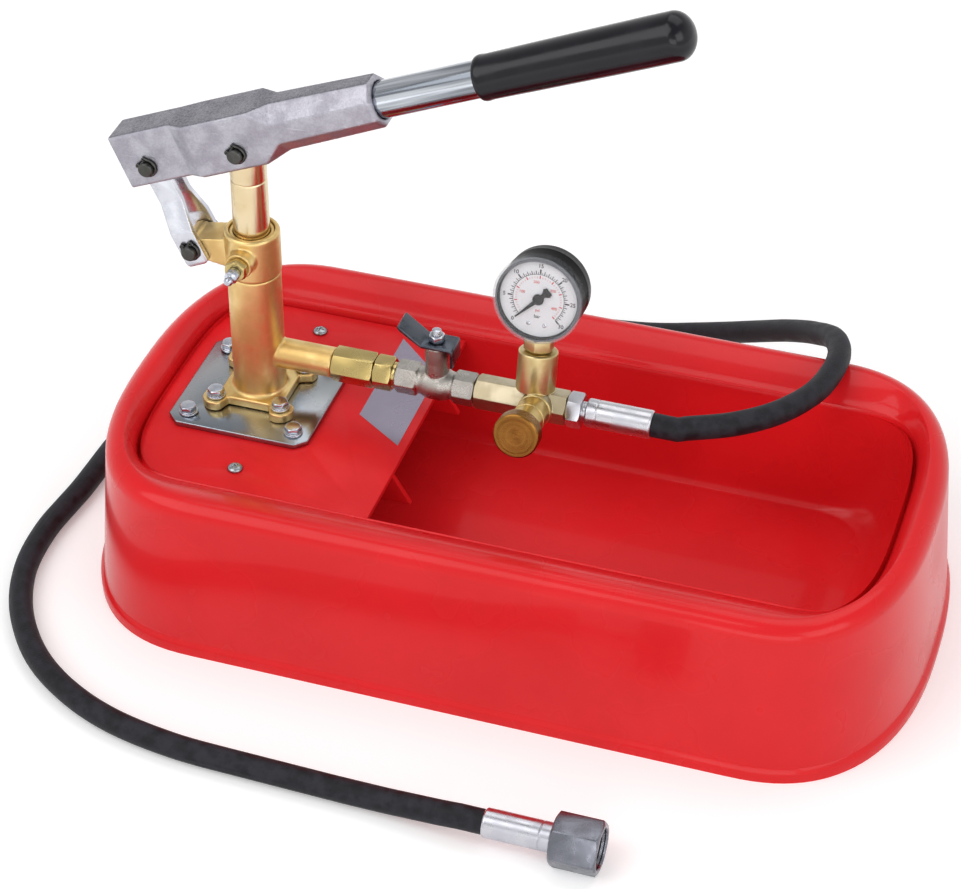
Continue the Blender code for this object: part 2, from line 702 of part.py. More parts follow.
def make_deck():
    """The plate over the basin's left end, with its pad, two gussets and two screws."""
    outline = [
        (x, y)
        for x, y, _ in level_ring(
            CREST_X - SHOULDER_END - DECK_GAP,
            CREST_Y - SHOULDER_SIDE - DECK_GAP,
            BASIN_END_DEPTH,
            BASIN_BULGE_share,
            0,
        )
        if x < DECK_EDGE_X
    ]
    side = CREST_Y - SHOULDER_SIDE - DECK_GAP
    outline = [(DECK_EDGE_X, side)] + outline + [(DECK_EDGE_X, -side)]
    deck = add("deck_plate", slab(outline, DECK_THICK), DECK_RED, (0, 0, DECK_TOP - DECK_THICK / 2))
    pad_height = DECK_THICK / 2 + DECK_PAD_THICK
    pad_z = DECK_TOP - DECK_THICK / 2 - pad_height / 2
    join(deck, block((DECK_PAD_WIDTH, DECK_PAD_WIDTH, pad_height)), (COLUMN_X, 0, pad_z))
    gusset = (
        (-GUSSET_DEPTH, 0),
        (0, 0),
        (GUSSET_REACH, -GUSSET_HEIGHT),
        (-GUSSET_DEPTH, -GUSSET_HEIGHT),
    )
    top = DECK_TOP - DECK_THICK / 2
    for side in (-1, 1):
        join(deck, slab(gusset, GUSSET_THICK), (DECK_EDGE_X - GAP, side * GUSSET_Y, top), FRONT)
    hole_z = DECK_BOTTOM - DECK_PAD_THICK - OVERRUN
    for x, y in bolt_places(PLATE_BOLT_SPREAD):
        drill(deck, BOLT_RADIUS + HOLE_GAP, (x, y, hole_z), length=DECK_TOP + OVERRUN - hole_z)
    drill(deck, SUCTION_RADIUS + HOLE_GAP, (COLUMN_X, 0, hole_z), length=DECK_TOP + OVERRUN - hole_z)
    for number, side in enumerate((-1, 1), 1):
        place = (COLUMN_X + SCREW_OFFSET_X, side * SCREW_Y, DECK_BOTTOM - SCREW_LENGTH)
        drill(deck, SCREW_RADIUS + HOLE_GAP, place, length=SCREW_LENGTH + DECK_THICK + OVERRUN)
        head = SCREW_LENGTH + DECK_THICK + GAP
        profile = (
            (0, head + SCREW_HEAD_HEIGHT),
            (SCREW_HEAD_RADIUS * 0.5, head + SCREW_HEAD_HEIGHT * 0.9),
            (SCREW_HEAD_RADIUS * 0.9, head + SCREW_HEAD_HEIGHT * 0.5),
            (SCREW_HEAD_RADIUS, head),
            (SCREW_RADIUS, head),
            (SCREW_RADIUS, 0),
            (0, 0),
        )
        screw = add(f"deck_screw_{number}", turned(profile, SMALL_SIDES), ZINC, place)
        for angle in (0, math.pi / 2):
            slot = block((SCREW_HEAD_RADIUS, SCREW_RECESS / 2, SCREW_RECESS * 2))
            cutter = cut(screw, slot, (place[0], place[1], place[2] + head + SCREW_HEAD_HEIGHT))
            cutter.rotation_euler.z = angle


# Base plate, bolts and pump column
def make_bolts(name, spread, seat_z, grip):
    """Four hexagon bolts with a washer each, that stand in their holes."""
    head = grip + WASHER_THICK
    for number, (x, y) in enumerate(bolt_places(spread), 1):
        bolt = add(f"{name}_{number}", many_sided(6, BOLT_HEAD_FLATS, BOLT_HEAD_HEIGHT, head), STEEL)
        bolt.location = (x, y, seat_z - grip)
        join(bolt, round_bar(WASHER_RADIUS, WASHER_THICK * 1.5, SMALL_SIDES), (x, y, seat_z))
        join(bolt, round_bar(BOLT_RADIUS, grip + WASHER_THICK, SMALL_SIDES), (x, y, seat_z - grip))


def make_base_plate():
    """The zinc plate on the deck, with its corner bolts."""
    half = PLATE_WIDTH / 2
    near = half - PLATE_CORNER
    outline = [(half, -near), (half, near), (near, half), (-near, half)]
    outline += [(-x, -y) for x, y in outline]
    plate = add("base_plate", slab(outline, PLATE_THICK), ZINC, (COLUMN_X, 0, PLATE_TOP - PLATE_THICK / 2))
    hole_z = PLATE_BOTTOM - OVERRUN
    depth = PLATE_THICK + 2 * OVERRUN
    for x, y in bolt_places(PLATE_BOLT_SPREAD) + bolt_places(FLANGE_BOLT_SPREAD):
        drill(plate, BOLT_RADIUS + HOLE_GAP, (x, y, hole_z), length=depth)
    drill(plate, SUCTION_RADIUS + HOLE_GAP, (COLUMN_X, 0, hole_z), length=depth)
    make_bolts("plate_bolt", PLATE_BOLT_SPREAD, PLATE_TOP + GAP, PLATE_BOLT_GRIP)
    make_bolts("flange_bolt", FLANGE_BOLT_SPREAD, FLANGE_TOP + GAP, FLANGE_THICK + 2 * GAP + PLATE_THICK)


def flange_outline():
    """Four bolt lugs joined by straight waists."""
    start = FLANGE_BOLT_SPREAD - LUG_RADIUS * 0.9
    lug = [(FLANGE_WAIST, start)]
    lug += arc(LUG_RADIUS, -35, 125, LUG_STEPS, (FLANGE_BOLT_SPREAD, FLANGE_BOLT_SPREAD))
    lug += [(start, FLANGE_WAIST)]
    outline = []
    for quarter in range(4):
        turn = Matrix.Rotation(quarter * math.pi / 2, 2)
        outline += [tuple(turn @ Vector(point)) for point in lug]
    return outline


def make_column():
    """The brass barrel with its flange and its delivery stub."""
    column = add("cylinder_body", slab(flange_outline(), FLANGE_THICK), BRASS)
    column.location = (COLUMN_X, 0, FLANGE_TOP - FLANGE_THICK / 2)
    foot = COLUMN_RADIUS + COLUMN_FOOT
    profile = (
        (0, COLUMN_HEIGHT),
        (COLUMN_RADIUS, COLUMN_HEIGHT),
        (COLUMN_RADIUS, FLANGE_THICK + COLUMN_FOOT),
        (foot, FLANGE_THICK),
        (foot, FLANGE_THICK / 2),
        (0, FLANGE_THICK / 2),
    )
    base = (COLUMN_X, 0, FLANGE_BOTTOM)
    join(column, turned(profile, ROUND_SIDES), base)
    axis = (COLUMN_X, 0, PIPE_Z)
    join(column, round_bar(STUB_RADIUS, STUB_REACH), axis, RIGHT)
    floor = CAGE_BOTTOM + CAGE_THICK
    spigot = COLUMN_HEIGHT - SPIGOT_LENGTH - GAP
    bore = (
        (0, COLUMN_HEIGHT + OVERRUN),
        (SPIGOT_RADIUS + GAP, COLUMN_HEIGHT + OVERRUN),
        (SPIGOT_RADIUS + GAP, spigot),
        (BARREL_RADIUS, spigot),
        (BARREL_RADIUS, floor),
        (CAGE_RADIUS, floor),
        (CAGE_RADIUS, CAGE_BOTTOM),
        (SUCTION_RADIUS + HOLE_GAP, CAGE_BOTTOM),
        (SUCTION_RADIUS + HOLE_GAP, -OVERRUN),
        (0, -OVERRUN),
    )
    cut(column, turned(bore), base)
    drill(column, PORT_RADIUS, axis, RIGHT, STUB_REACH + OVERRUN)
    for x, y in bolt_places(FLANGE_BOLT_SPREAD):
        place = (x, y, FLANGE_BOTTOM - OVERRUN)
        drill(column, BOLT_RADIUS + HOLE_GAP, place, length=FLANGE_THICK + 2 * OVERRUN)


def make_head():
    """The head on the barrel: the ear for the links, the gland and the greasing nipple."""
    base = (COLUMN_X, 0, HEAD_BOTTOM)
    profile = (
        (0, HEAD_HEIGHT),
        (HEAD_RADIUS - HEAD_EDGE, HEAD_HEIGHT),
        (HEAD_RADIUS, HEAD_HEIGHT - HEAD_EDGE),
        (HEAD_RADIUS, 0),
        (SPIGOT_RADIUS, 0),
        (SPIGOT_RADIUS, -SPIGOT_LENGTH),
        (0, -SPIGOT_LENGTH),
    )
    head = add("cylinder_head", turned(profile, ROUND_SIDES), BRASS, base)
    ear = arc(EAR_RADIUS, 70, 290, 8, (EAR_X, EAR_Z))
    ear += [(COLUMN_X, EAR_Z - EAR_ROOT_LOW), (COLUMN_X, EAR_Z + EAR_ROOT_HIGH)]
    join(head, slab(ear, 2 * EAR_HALF), (0, 0, 0), FRONT)
    boss_z = HEAD_TOP - BOSS_DROP
    join(head, round_bar(BOSS_RADIUS, BOSS_REACH), (COLUMN_X, 0, boss_z), FRONT)
    pocket = HEAD_HEIGHT - SEAL_POCKET_DEPTH
    bore_radius = PLUNGER_RADIUS + PLUNGER_BORE_GAP
    bore = (
        (0, HEAD_HEIGHT + OVERRUN),
        (SEAL_POCKET_RADIUS, HEAD_HEIGHT + OVERRUN),
        (SEAL_POCKET_RADIUS, pocket),
        (bore_radius, pocket),
        (bore_radius, -SPIGOT_LENGTH - OVERRUN),
        (0, -SPIGOT_LENGTH - OVERRUN),
    )
    cut(head, turned(bore), base)
    drill(head, BUSH_THREAD + GAP, (COLUMN_X, 0, boss_z), FRONT, BOSS_REACH + OVERRUN)
    drill(head, PIN_RADIUS + HOLE_GAP, (EAR_X, EAR_HALF + OVERRUN, EAR_Z), FRONT, 2 * (EAR_HALF + OVERRUN))

    def ring(name, height, low, finish):
        """A ring that fills the pocket round the plunger."""
        outer = SEAL_POCKET_RADIUS - GAP
        section = ((bore_radius, height), (outer, height), (outer, 0), (bore_radius, 0))
        add(name, turned(section, hollow=True), finish, (COLUMN_X, 0, HEAD_BOTTOM + low))

    ring("rod_seal", SEAL_HEIGHT, pocket + GAP, SEAL)
    ring("gland_ring", GLAND_HEIGHT, pocket + SEAL_HEIGHT + 2 * GAP, TURNED_BRASS)

    face = -BOSS_REACH - GAP
    bush = add("nipple_bush", many_sided(6, BUSH_FLATS, BUSH_THICK), TURNED_BRASS)
    bush.location = (COLUMN_X, face, boss_z)
    bush.rotation_euler = UP.rotation_difference(FRONT).to_euler()
    join(bush, round_bar(BUSH_THREAD, BUSH_THICK, SMALL_SIDES), (COLUMN_X, face + BUSH_THICK / 2, boss_z), FRONT)
    nipple = (
        (0, NIPPLE_LENGTH),
        (NIPPLE_BALL * 0.6, NIPPLE_LENGTH),
        (NIPPLE_BALL, NIPPLE_LENGTH * 0.85),
        (NIPPLE_BALL * 0.7, NIPPLE_LENGTH * 0.65),
        (NIPPLE_RADIUS, NIPPLE_LENGTH * 0.50),
        (NIPPLE_RADIUS, 0),
        (0, 0),
    )
    add("grease_nipple", turned(nipple, SMALL_SIDES), STEEL, (COLUMN_X, face - BUSH_THICK - GAP, boss_z), FRONT)


def make_plunger():
    """The ground plunger, its origin at the eye that the lever turns on."""
    bottom = COLUMN_TOP - PLUNGER_DOWN - EYE_Z
    groove = -GROOVE_DROP
    radius = PLUNGER_RADIUS
    profile = (
        (0, EYE_TOP),
        (radius - EYE_CHAMFER, EYE_TOP),
        (radius, EYE_TOP - EYE_CHAMFER),
        (radius, groove + GROOVE_WIDTH),
        (radius - GROOVE_DEPTH, groove + GROOVE_WIDTH / 2),
        (radius, groove),
        (radius, bottom + GROOVE_WIDTH),
        (radius - GROOVE_WIDTH, bottom),
        (0, bottom),
    )
    plunger = add("piston_rod", turned(profile, ROUND_SIDES), TURNED_BRASS, (COLUMN_X, 0, EYE_Z))
    across = PLUNGER_RADIUS + OVERRUN
    drill(plunger, PIN_RADIUS + HOLE_GAP, (COLUMN_X, across, EYE_Z), FRONT, 2 * across)


def make_suction():
    """The suction pipe under the barrel, its strainer and the ball on its top."""
    strainer_top = FLOOR_HEIGHT + STRAINER_FLOOR_GAP + STRAINER_HEIGHT
    low = strainer_top - STRAINER_HEIGHT / 2
    pipe = ((SUCTION_BORE, SUCTION_TOP), (SUCTION_RADIUS, SUCTION_TOP), (SUCTION_RADIUS, low), (SUCTION_BORE, low))
    add("suction_pipe", turned(pipe, SMALL_SIDES, hollow=True), TURNED_BRASS, (COLUMN_X, 0, 0))
    inner = STRAINER_RADIUS - STRAINER_WALL
    neck = SUCTION_RADIUS + GAP
    cup = (
        (neck, strainer_top),
        (STRAINER_RADIUS, strainer_top),
        (STRAINER_RADIUS, strainer_top - STRAINER_HEIGHT),
        (inner, strainer_top - STRAINER_HEIGHT),
        (inner, strainer_top - STRAINER_WALL),
        (neck, strainer_top - STRAINER_WALL),
    )
    add("suction_strainer", turned(cup, PIPE_SIDES, hollow=True), STEEL, (COLUMN_X, 0, 0))
    add("suction_ball", ball(SUCTION_BALL_RADIUS), STEEL, (COLUMN_X, 0, SUCTION_BALL_Z))


# Delivery line
def make_delivery():
    """The check valve beside the barrel, with its ball and spring, and the union after it."""
    along = (DELIVERY_X, 0, PIPE_Z)
    thread = PORT_RADIUS - GAP
    body = add("check_valve_body", many_sided(6, DELIVERY_FLATS, DELIVERY_LENGTH), TURNED_BRASS, along, RIGHT)
    join(body, round_bar(thread, 2 * THREAD_LENGTH), (DELIVERY_X - THREAD_LENGTH, 0, PIPE_Z), RIGHT)
    end = DELIVERY_LENGTH + OVERRUN
    bore = (
        (0, end),
        (DELIVERY_CHAMBER, end),
        (DELIVERY_CHAMBER, DELIVERY_SEAT),
        (DELIVERY_SEAT_BORE, DELIVERY_SEAT),
        (DELIVERY_SEAT_BORE, -THREAD_LENGTH - OVERRUN),
        (0, -THREAD_LENGTH - OVERRUN),
    )
    cut(body, turned(bore, SMALL_SIDES), along, RIGHT)
    seat = DELIVERY_X + DELIVERY_SEAT
    ball_x = seat + math.sqrt(DELIVERY_BALL_RADIUS**2 - DELIVERY_SEAT_BORE**2) + GAP
    add("check_ball", ball(DELIVERY_BALL_RADIUS), STEEL, (ball_x, 0, PIPE_Z))
    spring_start = ball_x + DELIVERY_BALL_RADIUS + GAP + SPRING_WIRE
    spring_end = UNION_X - THREAD_LENGTH - GAP - SPRING_WIRE
    steps = SPRING_TURNS * SPRING_STEPS
    coil = []
    for step in range(steps + 1):
        angle = 2 * math.pi * step / SPRING_STEPS
        x = spring_start + (spring_end - spring_start) * step / steps
        coil.append((x, SPRING_RADIUS * math.cos(angle), PIPE_Z + SPRING_RADIUS * math.sin(angle)))
    add("check_spring", tube(coil, SPRING_WIRE, 1), STEEL)

    union = add("union_nipple", many_sided(6, UNION_FLATS, UNION_LENGTH), TURNED_BRASS, (UNION_X, 0, PIPE_Z), RIGHT)
    join(union, round_bar(UNION_COLLAR, UNION_LENGTH / 2 + UNION_COLLAR_LENGTH),
         (UNION_X + UNION_LENGTH / 2, 0, PIPE_Z), RIGHT)
    join(union, round_bar(DELIVERY_CHAMBER - GAP, 2 * THREAD_LENGTH), (UNION_X - THREAD_LENGTH, 0, PIPE_Z), RIGHT)
    join(union, round_bar(thread, 2 * THREAD_LENGTH), (VALVE_X - THREAD_LENGTH, 0, PIPE_Z), RIGHT)
    length = VALVE_X - UNION_X + 2 * (THREAD_LENGTH + OVERRUN)
    drill(union, THREAD_BORE, (UNION_X - THREAD_LENGTH - OVERRUN, 0, PIPE_Z), RIGHT, length)


def make_shutoff():
    """The ball valve: body, ball, stem, bent handle and nut."""
    start = (VALVE_X, 0, PIPE_Z)
    centre = (VALVE_STEM_X, 0, PIPE_Z)
    right = VALVE_X + VALVE_LENGTH - VALVE_HEX_LENGTH
    body = add("shutoff_body", many_sided(6, VALVE_FLATS, VALVE_HEX_LENGTH), NICKEL, start, RIGHT)
    join(body, many_sided(6, VALVE_FLATS, VALVE_HEX_LENGTH), (right, 0, PIPE_Z), RIGHT)
    waist = VALVE_HEX_LENGTH / 2
    half = VALVE_LENGTH / 2
    profile = (
        (0, half - waist),
        (VALVE_WAIST, half - waist),
        (VALVE_WAIST, VALVE_WAIST),
        (VALVE_SHELL, VALVE_WAIST / 2),
        (VALVE_SHELL, -VALVE_WAIST / 2),
        (VALVE_WAIST, -VALVE_WAIST),
        (VALVE_WAIST, waist - half),
        (0, waist - half),
    )
    join(body, turned(profile), centre, RIGHT)
    join(body, round_bar(VALVE_NECK_RADIUS, VALVE_NECK_TOP), centre)
    bore = (
        (0, half + OVERRUN),
        (PORT_RADIUS, half + OVERRUN),
        (PORT_RADIUS, half - THREAD_LENGTH - GAP),
        (VALVE_BORE, half - THREAD_LENGTH - GAP),
        (VALVE_BORE, -half + THREAD_LENGTH + GAP),
        (PORT_RADIUS, -half + THREAD_LENGTH + GAP),
        (PORT_RADIUS, -half - OVERRUN),
        (0, -half - OVERRUN),
    )
    cut(body, turned(bore, SMALL_SIDES), centre, RIGHT)
    cut(body, ball(VALVE_BALL_RADIUS + GAP), centre)
    drill(body, STEM_RADIUS + GAP, centre, length=VALVE_NECK_TOP + OVERRUN)

    sphere = add("shutoff_ball", ball(VALVE_BALL_RADIUS), STEEL, centre)
    across = VALVE_BALL_RADIUS + OVERRUN
    drill(sphere, VALVE_BORE, (VALVE_STEM_X - across, 0, PIPE_Z), RIGHT, 2 * across)
    stem_low = (VALVE_BORE + VALVE_BALL_RADIUS) / 2
    drill(sphere, STEM_RADIUS + GAP, (VALVE_STEM_X, 0, PIPE_Z + stem_low), length=across)
    stem_start = (VALVE_STEM_X, 0, PIPE_Z + stem_low + GAP)
    add("shutoff_stem", round_bar(STEM_RADIUS, STEM_THREAD_TOP - stem_low, SMALL_SIDES), STEEL, stem_start)

    thick = HANDLE_THICK
    bend = HANDLE_HUB_REACH + (WING_REACH - HANDLE_HUB_REACH) * 0.45
    section = (
        (-HANDLE_HUB_REACH, 0),
        (TAB_REACH - thick, 0),
        (TAB_REACH - thick, -TAB_DROP),
        (TAB_REACH, -TAB_DROP),
        (TAB_REACH, thick),
        (-HANDLE_HUB_REACH, thick),
        (-bend, WING_RISE * 0.45 + thick),
        (-WING_REACH, WING_RISE + thick),
        (-WING_REACH - thick * 0.7, WING_RISE),
        (-bend - thick * 0.5, WING_RISE * 0.45),
    )
    handle = add("shutoff_handle", slab(section, 2 * HANDLE_HALF), BLUED, (VALVE_STEM_X, 0, HANDLE_Z), FRONT)
    drill(handle, STEM_RADIUS + GAP, (VALVE_STEM_X, 0, HANDLE_Z - OVERRUN), length=thick + 2 * OVERRUN)
    nut_z = HANDLE_Z + thick + GAP
    nut = add("shutoff_nut", many_sided(6, NUT_FLATS, NUT_HEIGHT), STEEL, (VALVE_STEM_X, 0, nut_z))
    drill(nut, STEM_RADIUS + GAP, (VALVE_STEM_X, 0, nut_z - OVERRUN), length=NUT_HEIGHT + 2 * OVERRUN)


def make_manifold(lean):
    """The six-sided manifold with its gauge post and the boss that the drain screws into."""
    manifold = add("manifold", many_sided(6, MANIFOLD_FLATS, MANIFOLD_LENGTH), TURNED_BRASS, (0, 0, 0), RIGHT, lean)
    thread = PORT_RADIUS - GAP
    join(manifold, round_bar(thread, 2 * THREAD_LENGTH), (-THREAD_LENGTH, 0, 0), RIGHT, lean)
    join(manifold, round_bar(GAUGE_POST_RADIUS, GAUGE_POST_TOP), (POST_OFFSET, 0, 0), UP, lean)
    join(manifold, round_bar(DRAIN_BOSS_RADIUS, DRAIN_BOSS_REACH), (DRAIN_OFFSET, 0, 0), FRONT, lean)
    start = -THREAD_LENGTH - OVERRUN
    drill(manifold, MANIFOLD_BORE, (start, 0, 0), RIGHT, MANIFOLD_LENGTH - start + OVERRUN, lean)
    socket = MANIFOLD_LENGTH - THREAD_LENGTH - GAP
    drill(manifold, PORT_RADIUS, (socket, 0, 0), RIGHT, THREAD_LENGTH + OVERRUN, lean)
    well = GAUGE_POST_TOP - GAUGE_THREAD_LENGTH - GAP
    drill(manifold, GAUGE_THREAD_RADIUS + GAP, (POST_OFFSET, 0, well), UP, GAUGE_THREAD_LENGTH + OVERRUN, lean)
    drill(manifold, DRAIN_SEAT_RADIUS, (POST_OFFSET, 0, 0), UP, GAUGE_POST_TOP, lean)
    drill(manifold, DRAIN_SEAT_RADIUS, (DRAIN_OFFSET, 0, 0), FRONT, DRAIN_BOSS_REACH, lean)
    seat = (DRAIN_OFFSET, -DRAIN_SEAT_REACH + GAP, 0)
    drill(manifold, DRAIN_THREAD_RADIUS + GAP, seat, FRONT, DRAIN_BOSS_REACH, lean)


def pointer_outline():
    """A tapered pointer with a broad tail, pointing along local Y."""
    half = POINTER_HALF
    return (
        (half * 0.25, POINTER_LENGTH),
        (half, 0),
        (half, -POINTER_TAIL * 0.5),
        (half * 2.2, -POINTER_TAIL * 0.75),
        (half * 1.6, -POINTER_TAIL),
        (-half * 1.6, -POINTER_TAIL),
        (-half * 2.2, -POINTER_TAIL * 0.75),
        (-half, -POINTER_TAIL * 0.5),
        (-half, 0),
        (-half * 0.25, POINTER_LENGTH),
    )


def make_gauge(lean):
    """The pressure gauge on its post: case, dial, pointer, window and what works them."""
    dial_frame = add_empty("gauge_axis", (POST_OFFSET, 0, GAUGE_AXIS_Z), (0, 0, 0), lean)
    front = GAUGE_DEPTH / 2
    inner = CASE_RADIUS - GAUGE_WALL
    case_front = front - BEZEL_WALL - GAP
    cup = (
        (0, GAUGE_WALL - front),
        (inner, GAUGE_WALL - front),
        (inner, case_front),
        (CASE_RADIUS, case_front),
        (CASE_RADIUS, GAUGE_WALL - front),
        (inner, -front),
        (0, -front),
    )
    case = add("gauge_case", turned(cup, ROUND_SIDES), BLACK, (0, 0, 0), FRONT, dial_frame)
    drill(case, GAUGE_NECK_RADIUS + GAP, (0, 0, -CASE_RADIUS - OVERRUN), UP, GAUGE_WALL + 2 * OVERRUN, dial_frame)
    skirt = CASE_RADIUS + GAP
    window = (
        (0, front),
        (GAUGE_RADIUS - BEZEL_WALL / 2, front),
        (GAUGE_RADIUS, front - BEZEL_WALL / 2),
        (GAUGE_RADIUS, front - BEZEL_DEPTH),
        (skirt, front - BEZEL_DEPTH),
        (skirt, front - BEZEL_WALL),
        (0, front - BEZEL_WALL),
    )
    add("gauge_window", turned(window, ROUND_SIDES), CLEAR, (0, 0, 0), FRONT, dial_frame)

    dial_front = front - BEZEL_WALL - DIAL_SETBACK
    dial_back = dial_front - DIAL_THICK
    hole = POINTER_ARBOR_RADIUS + GAP
    disc = ((hole, dial_front), (inner - GAP, dial_front), (inner - GAP, dial_back), (hole, dial_back))
    add("gauge_dial", turned(disc, ROUND_SIDES, hollow=True), WHITE, (0, 0, 0), FRONT, dial_frame)

    lift = dial_front + DIAL_SETBACK / 3
    pointer = add("gauge_pointer", slab(pointer_outline(), POINTER_THICK), BLACK, parent=dial_frame)
    pointer.location = (0, -lift - POINTER_THICK / 2, 0)
    pointer.rotation_euler = (math.pi / 2, -POINTER_ZERO, 0)
    join(pointer, round_bar(POINTER_HUB_RADIUS, 2 * POINTER_THICK, SMALL_SIDES), (0, -lift, 0), FRONT, dial_frame)
    movement_front = dial_back - GAP
    arbor_start = movement_front - MOVEMENT_THICK / 2
    arbor = round_bar(POINTER_ARBOR_RADIUS, lift + POINTER_THICK - arbor_start, SMALL_SIDES)
    join(pointer, arbor, (0, -arbor_start, 0), FRONT, dial_frame)

    movement = block((MOVEMENT_SIZE, MOVEMENT_THICK, MOVEMENT_SIZE))
    place = (0, MOVEMENT_THICK / 2 - movement_front, 0)
    movement = add("gauge_movement", movement, TURNED_BRASS, place, parent=dial_frame)
    drill(movement, hole, (0, -arbor_start + GAP, 0), FRONT, MOVEMENT_THICK, dial_frame)

    bottom = -GAUGE_RADIUS - GAP - GAUGE_HEX_HEIGHT
    socket = add("gauge_socket", many_sided(6, GAUGE_HEX_FLATS, GAUGE_HEX_HEIGHT, bottom), TURNED_BRASS,
                 parent=dial_frame)
    join(socket, round_bar(GAUGE_THREAD_RADIUS, GAUGE_THREAD_LENGTH + GAUGE_HEX_HEIGHT / 2),
         (0, 0, bottom - GAUGE_THREAD_LENGTH), UP, dial_frame)
    neck_start = bottom + GAUGE_HEX_HEIGHT / 2
    neck_top = -MOVEMENT_SIZE / 2 - GAP
    join(socket, round_bar(GAUGE_NECK_RADIUS, neck_top - neck_start), (0, 0, neck_start), UP, dial_frame)

    clear = (GAUGE_NECK_RADIUS + GAP) / (1 - BOURDON_TUBE / BOURDON_RADIUS)
    start = math.asin(clear / BOURDON_RADIUS) - math.pi / 2
    points = []
    for step in range(BOURDON_POINTS):
        angle = start + BOURDON_SWEEP * step / (BOURDON_POINTS - 1)
        points.append((BOURDON_RADIUS * math.cos(angle), 0, BOURDON_RADIUS * math.sin(angle)))
    back = MOVEMENT_THICK - movement_front + BOURDON_TUBE + GAP
    add("bourdon_tube", tube(points, BOURDON_TUBE, 1), TURNED_BRASS, (0, back, 0), parent=dial_frame)


def make_drain(lean):
    """The drain valve under the gauge: bonnet, spindle and knob."""
    axis = (DRAIN_OFFSET, 0, 0)
    start = DRAIN_BOSS_REACH + GAP
    shoulder = start + DRAIN_BONNET_LENGTH
    top = shoulder + DRAIN_NECK_LENGTH
    bore = DRAIN_SPINDLE_RADIUS + GAP
    section = (
        (bore, top),
        (DRAIN_NECK_RADIUS, top),
        (DRAIN_NECK_RADIUS, shoulder),
        (DRAIN_BONNET_RADIUS, shoulder),
        (DRAIN_BONNET_RADIUS, start),
        (DRAIN_THREAD_RADIUS, start),
        (DRAIN_THREAD_RADIUS, DRAIN_SEAT_REACH),
        (bore, DRAIN_SEAT_REACH),
    )
    add("drain_bonnet", turned(section, hollow=True), TURNED_BRASS, axis, FRONT, lean)
    back = DRAIN_KNOB_FACE - DRAIN_KNOB_THICK
    spindle_end = back + DRAIN_KNOB_HOLE
    tip = DRAIN_SEAT_REACH
    profile = (
        (0, spindle_end),
        (DRAIN_SPINDLE_RADIUS, spindle_end),
        (DRAIN_SPINDLE_RADIUS, tip + DRAIN_TIP_LENGTH),
        (DRAIN_TIP_RADIUS, tip),
        (0, tip),
    )
    add("drain_spindle", turned(profile, SMALL_SIDES), STEEL, axis, FRONT, lean)
    edge = DRAIN_KNOB_EDGE
    hole_end = back + DRAIN_KNOB_HOLE + GAP
    profile = (
        (0, DRAIN_KNOB_FACE),
        (DRAIN_KNOB_RADIUS - edge, DRAIN_KNOB_FACE),
        (DRAIN_KNOB_RADIUS, DRAIN_KNOB_FACE - edge),
        (DRAIN_KNOB_RADIUS, back + edge),
        (DRAIN_KNOB_RADIUS - edge, back),
        (bore, back),
        (bore, hole_end),
        (0, hole_end),
    )
    add("drain_knob", turned(profile, ROUND_SIDES), TURNED_BRASS, axis, FRONT, lean)


# Hose and its fittings
def ferrule_mesh():
    """A crimped sleeve along local Z, with a blind hole for the tail that it holds."""
    radius = FERRULE_RADIUS
    low = radius - FERRULE_GROOVE
    step = FERRULE_COLLAR
    hole = FITTING_NECK_RADIUS - FITTING_NECK_LENGTH / 2 + GAP
    profile = (
        (0, FERRULE_LENGTH),
        (radius - FERRULE_GROOVE, FERRULE_LENGTH),
        (radius, FERRULE_LENGTH - FERRULE_GROOVE),
        (radius, step + 3 * FERRULE_GROOVE),
        (low, step + 2 * FERRULE_GROOVE),
        (low, step),
        (radius, step - FERRULE_GROOVE),
        (radius, FERRULE_GROOVE),
        (low, 0),
        (hole, 0),
        (hole, TAIL_LENGTH + GAP),
        (0, TAIL_LENGTH + GAP),
    )
    return turned(profile)


def smooth_route(points, spacing):
    """Points at an even spacing along a smooth curve through all but the first and the last of the points.

    The first and the last are kept, so the curve starts and ends with a straight.
    """
    fine = []
    for before, start, end, after in zip(points, points[1:], points[2:], points[3:]):
        for step in range(ROUTE_STEPS):
            t = step / ROUTE_STEPS
            level = 2 * start + (end - before) * t
            bend = (2 * before - 5 * start + 4 * end - after) * t**2 + (3 * (start - end) - before + after) * t**3
            fine.append((level + bend) / 2)
    fine.append(points[-2])
    reach = [0.0]
    for one, other in zip(fine, fine[1:]):
        reach.append(reach[-1] + (other - one).length)
    count = round(reach[-1] / spacing)
    route = [points[0]]
    at = 0
    for step in range(count + 1):
        wanted = reach[-1] * step / count
        while at < len(fine) - 2 and reach[at + 1] < wanted:
            at += 1
        share = (wanted - reach[at]) / (reach[at + 1] - reach[at])
        route.append(fine[at].lerp(fine[at + 1], share))
    return [*route, points[-1]]


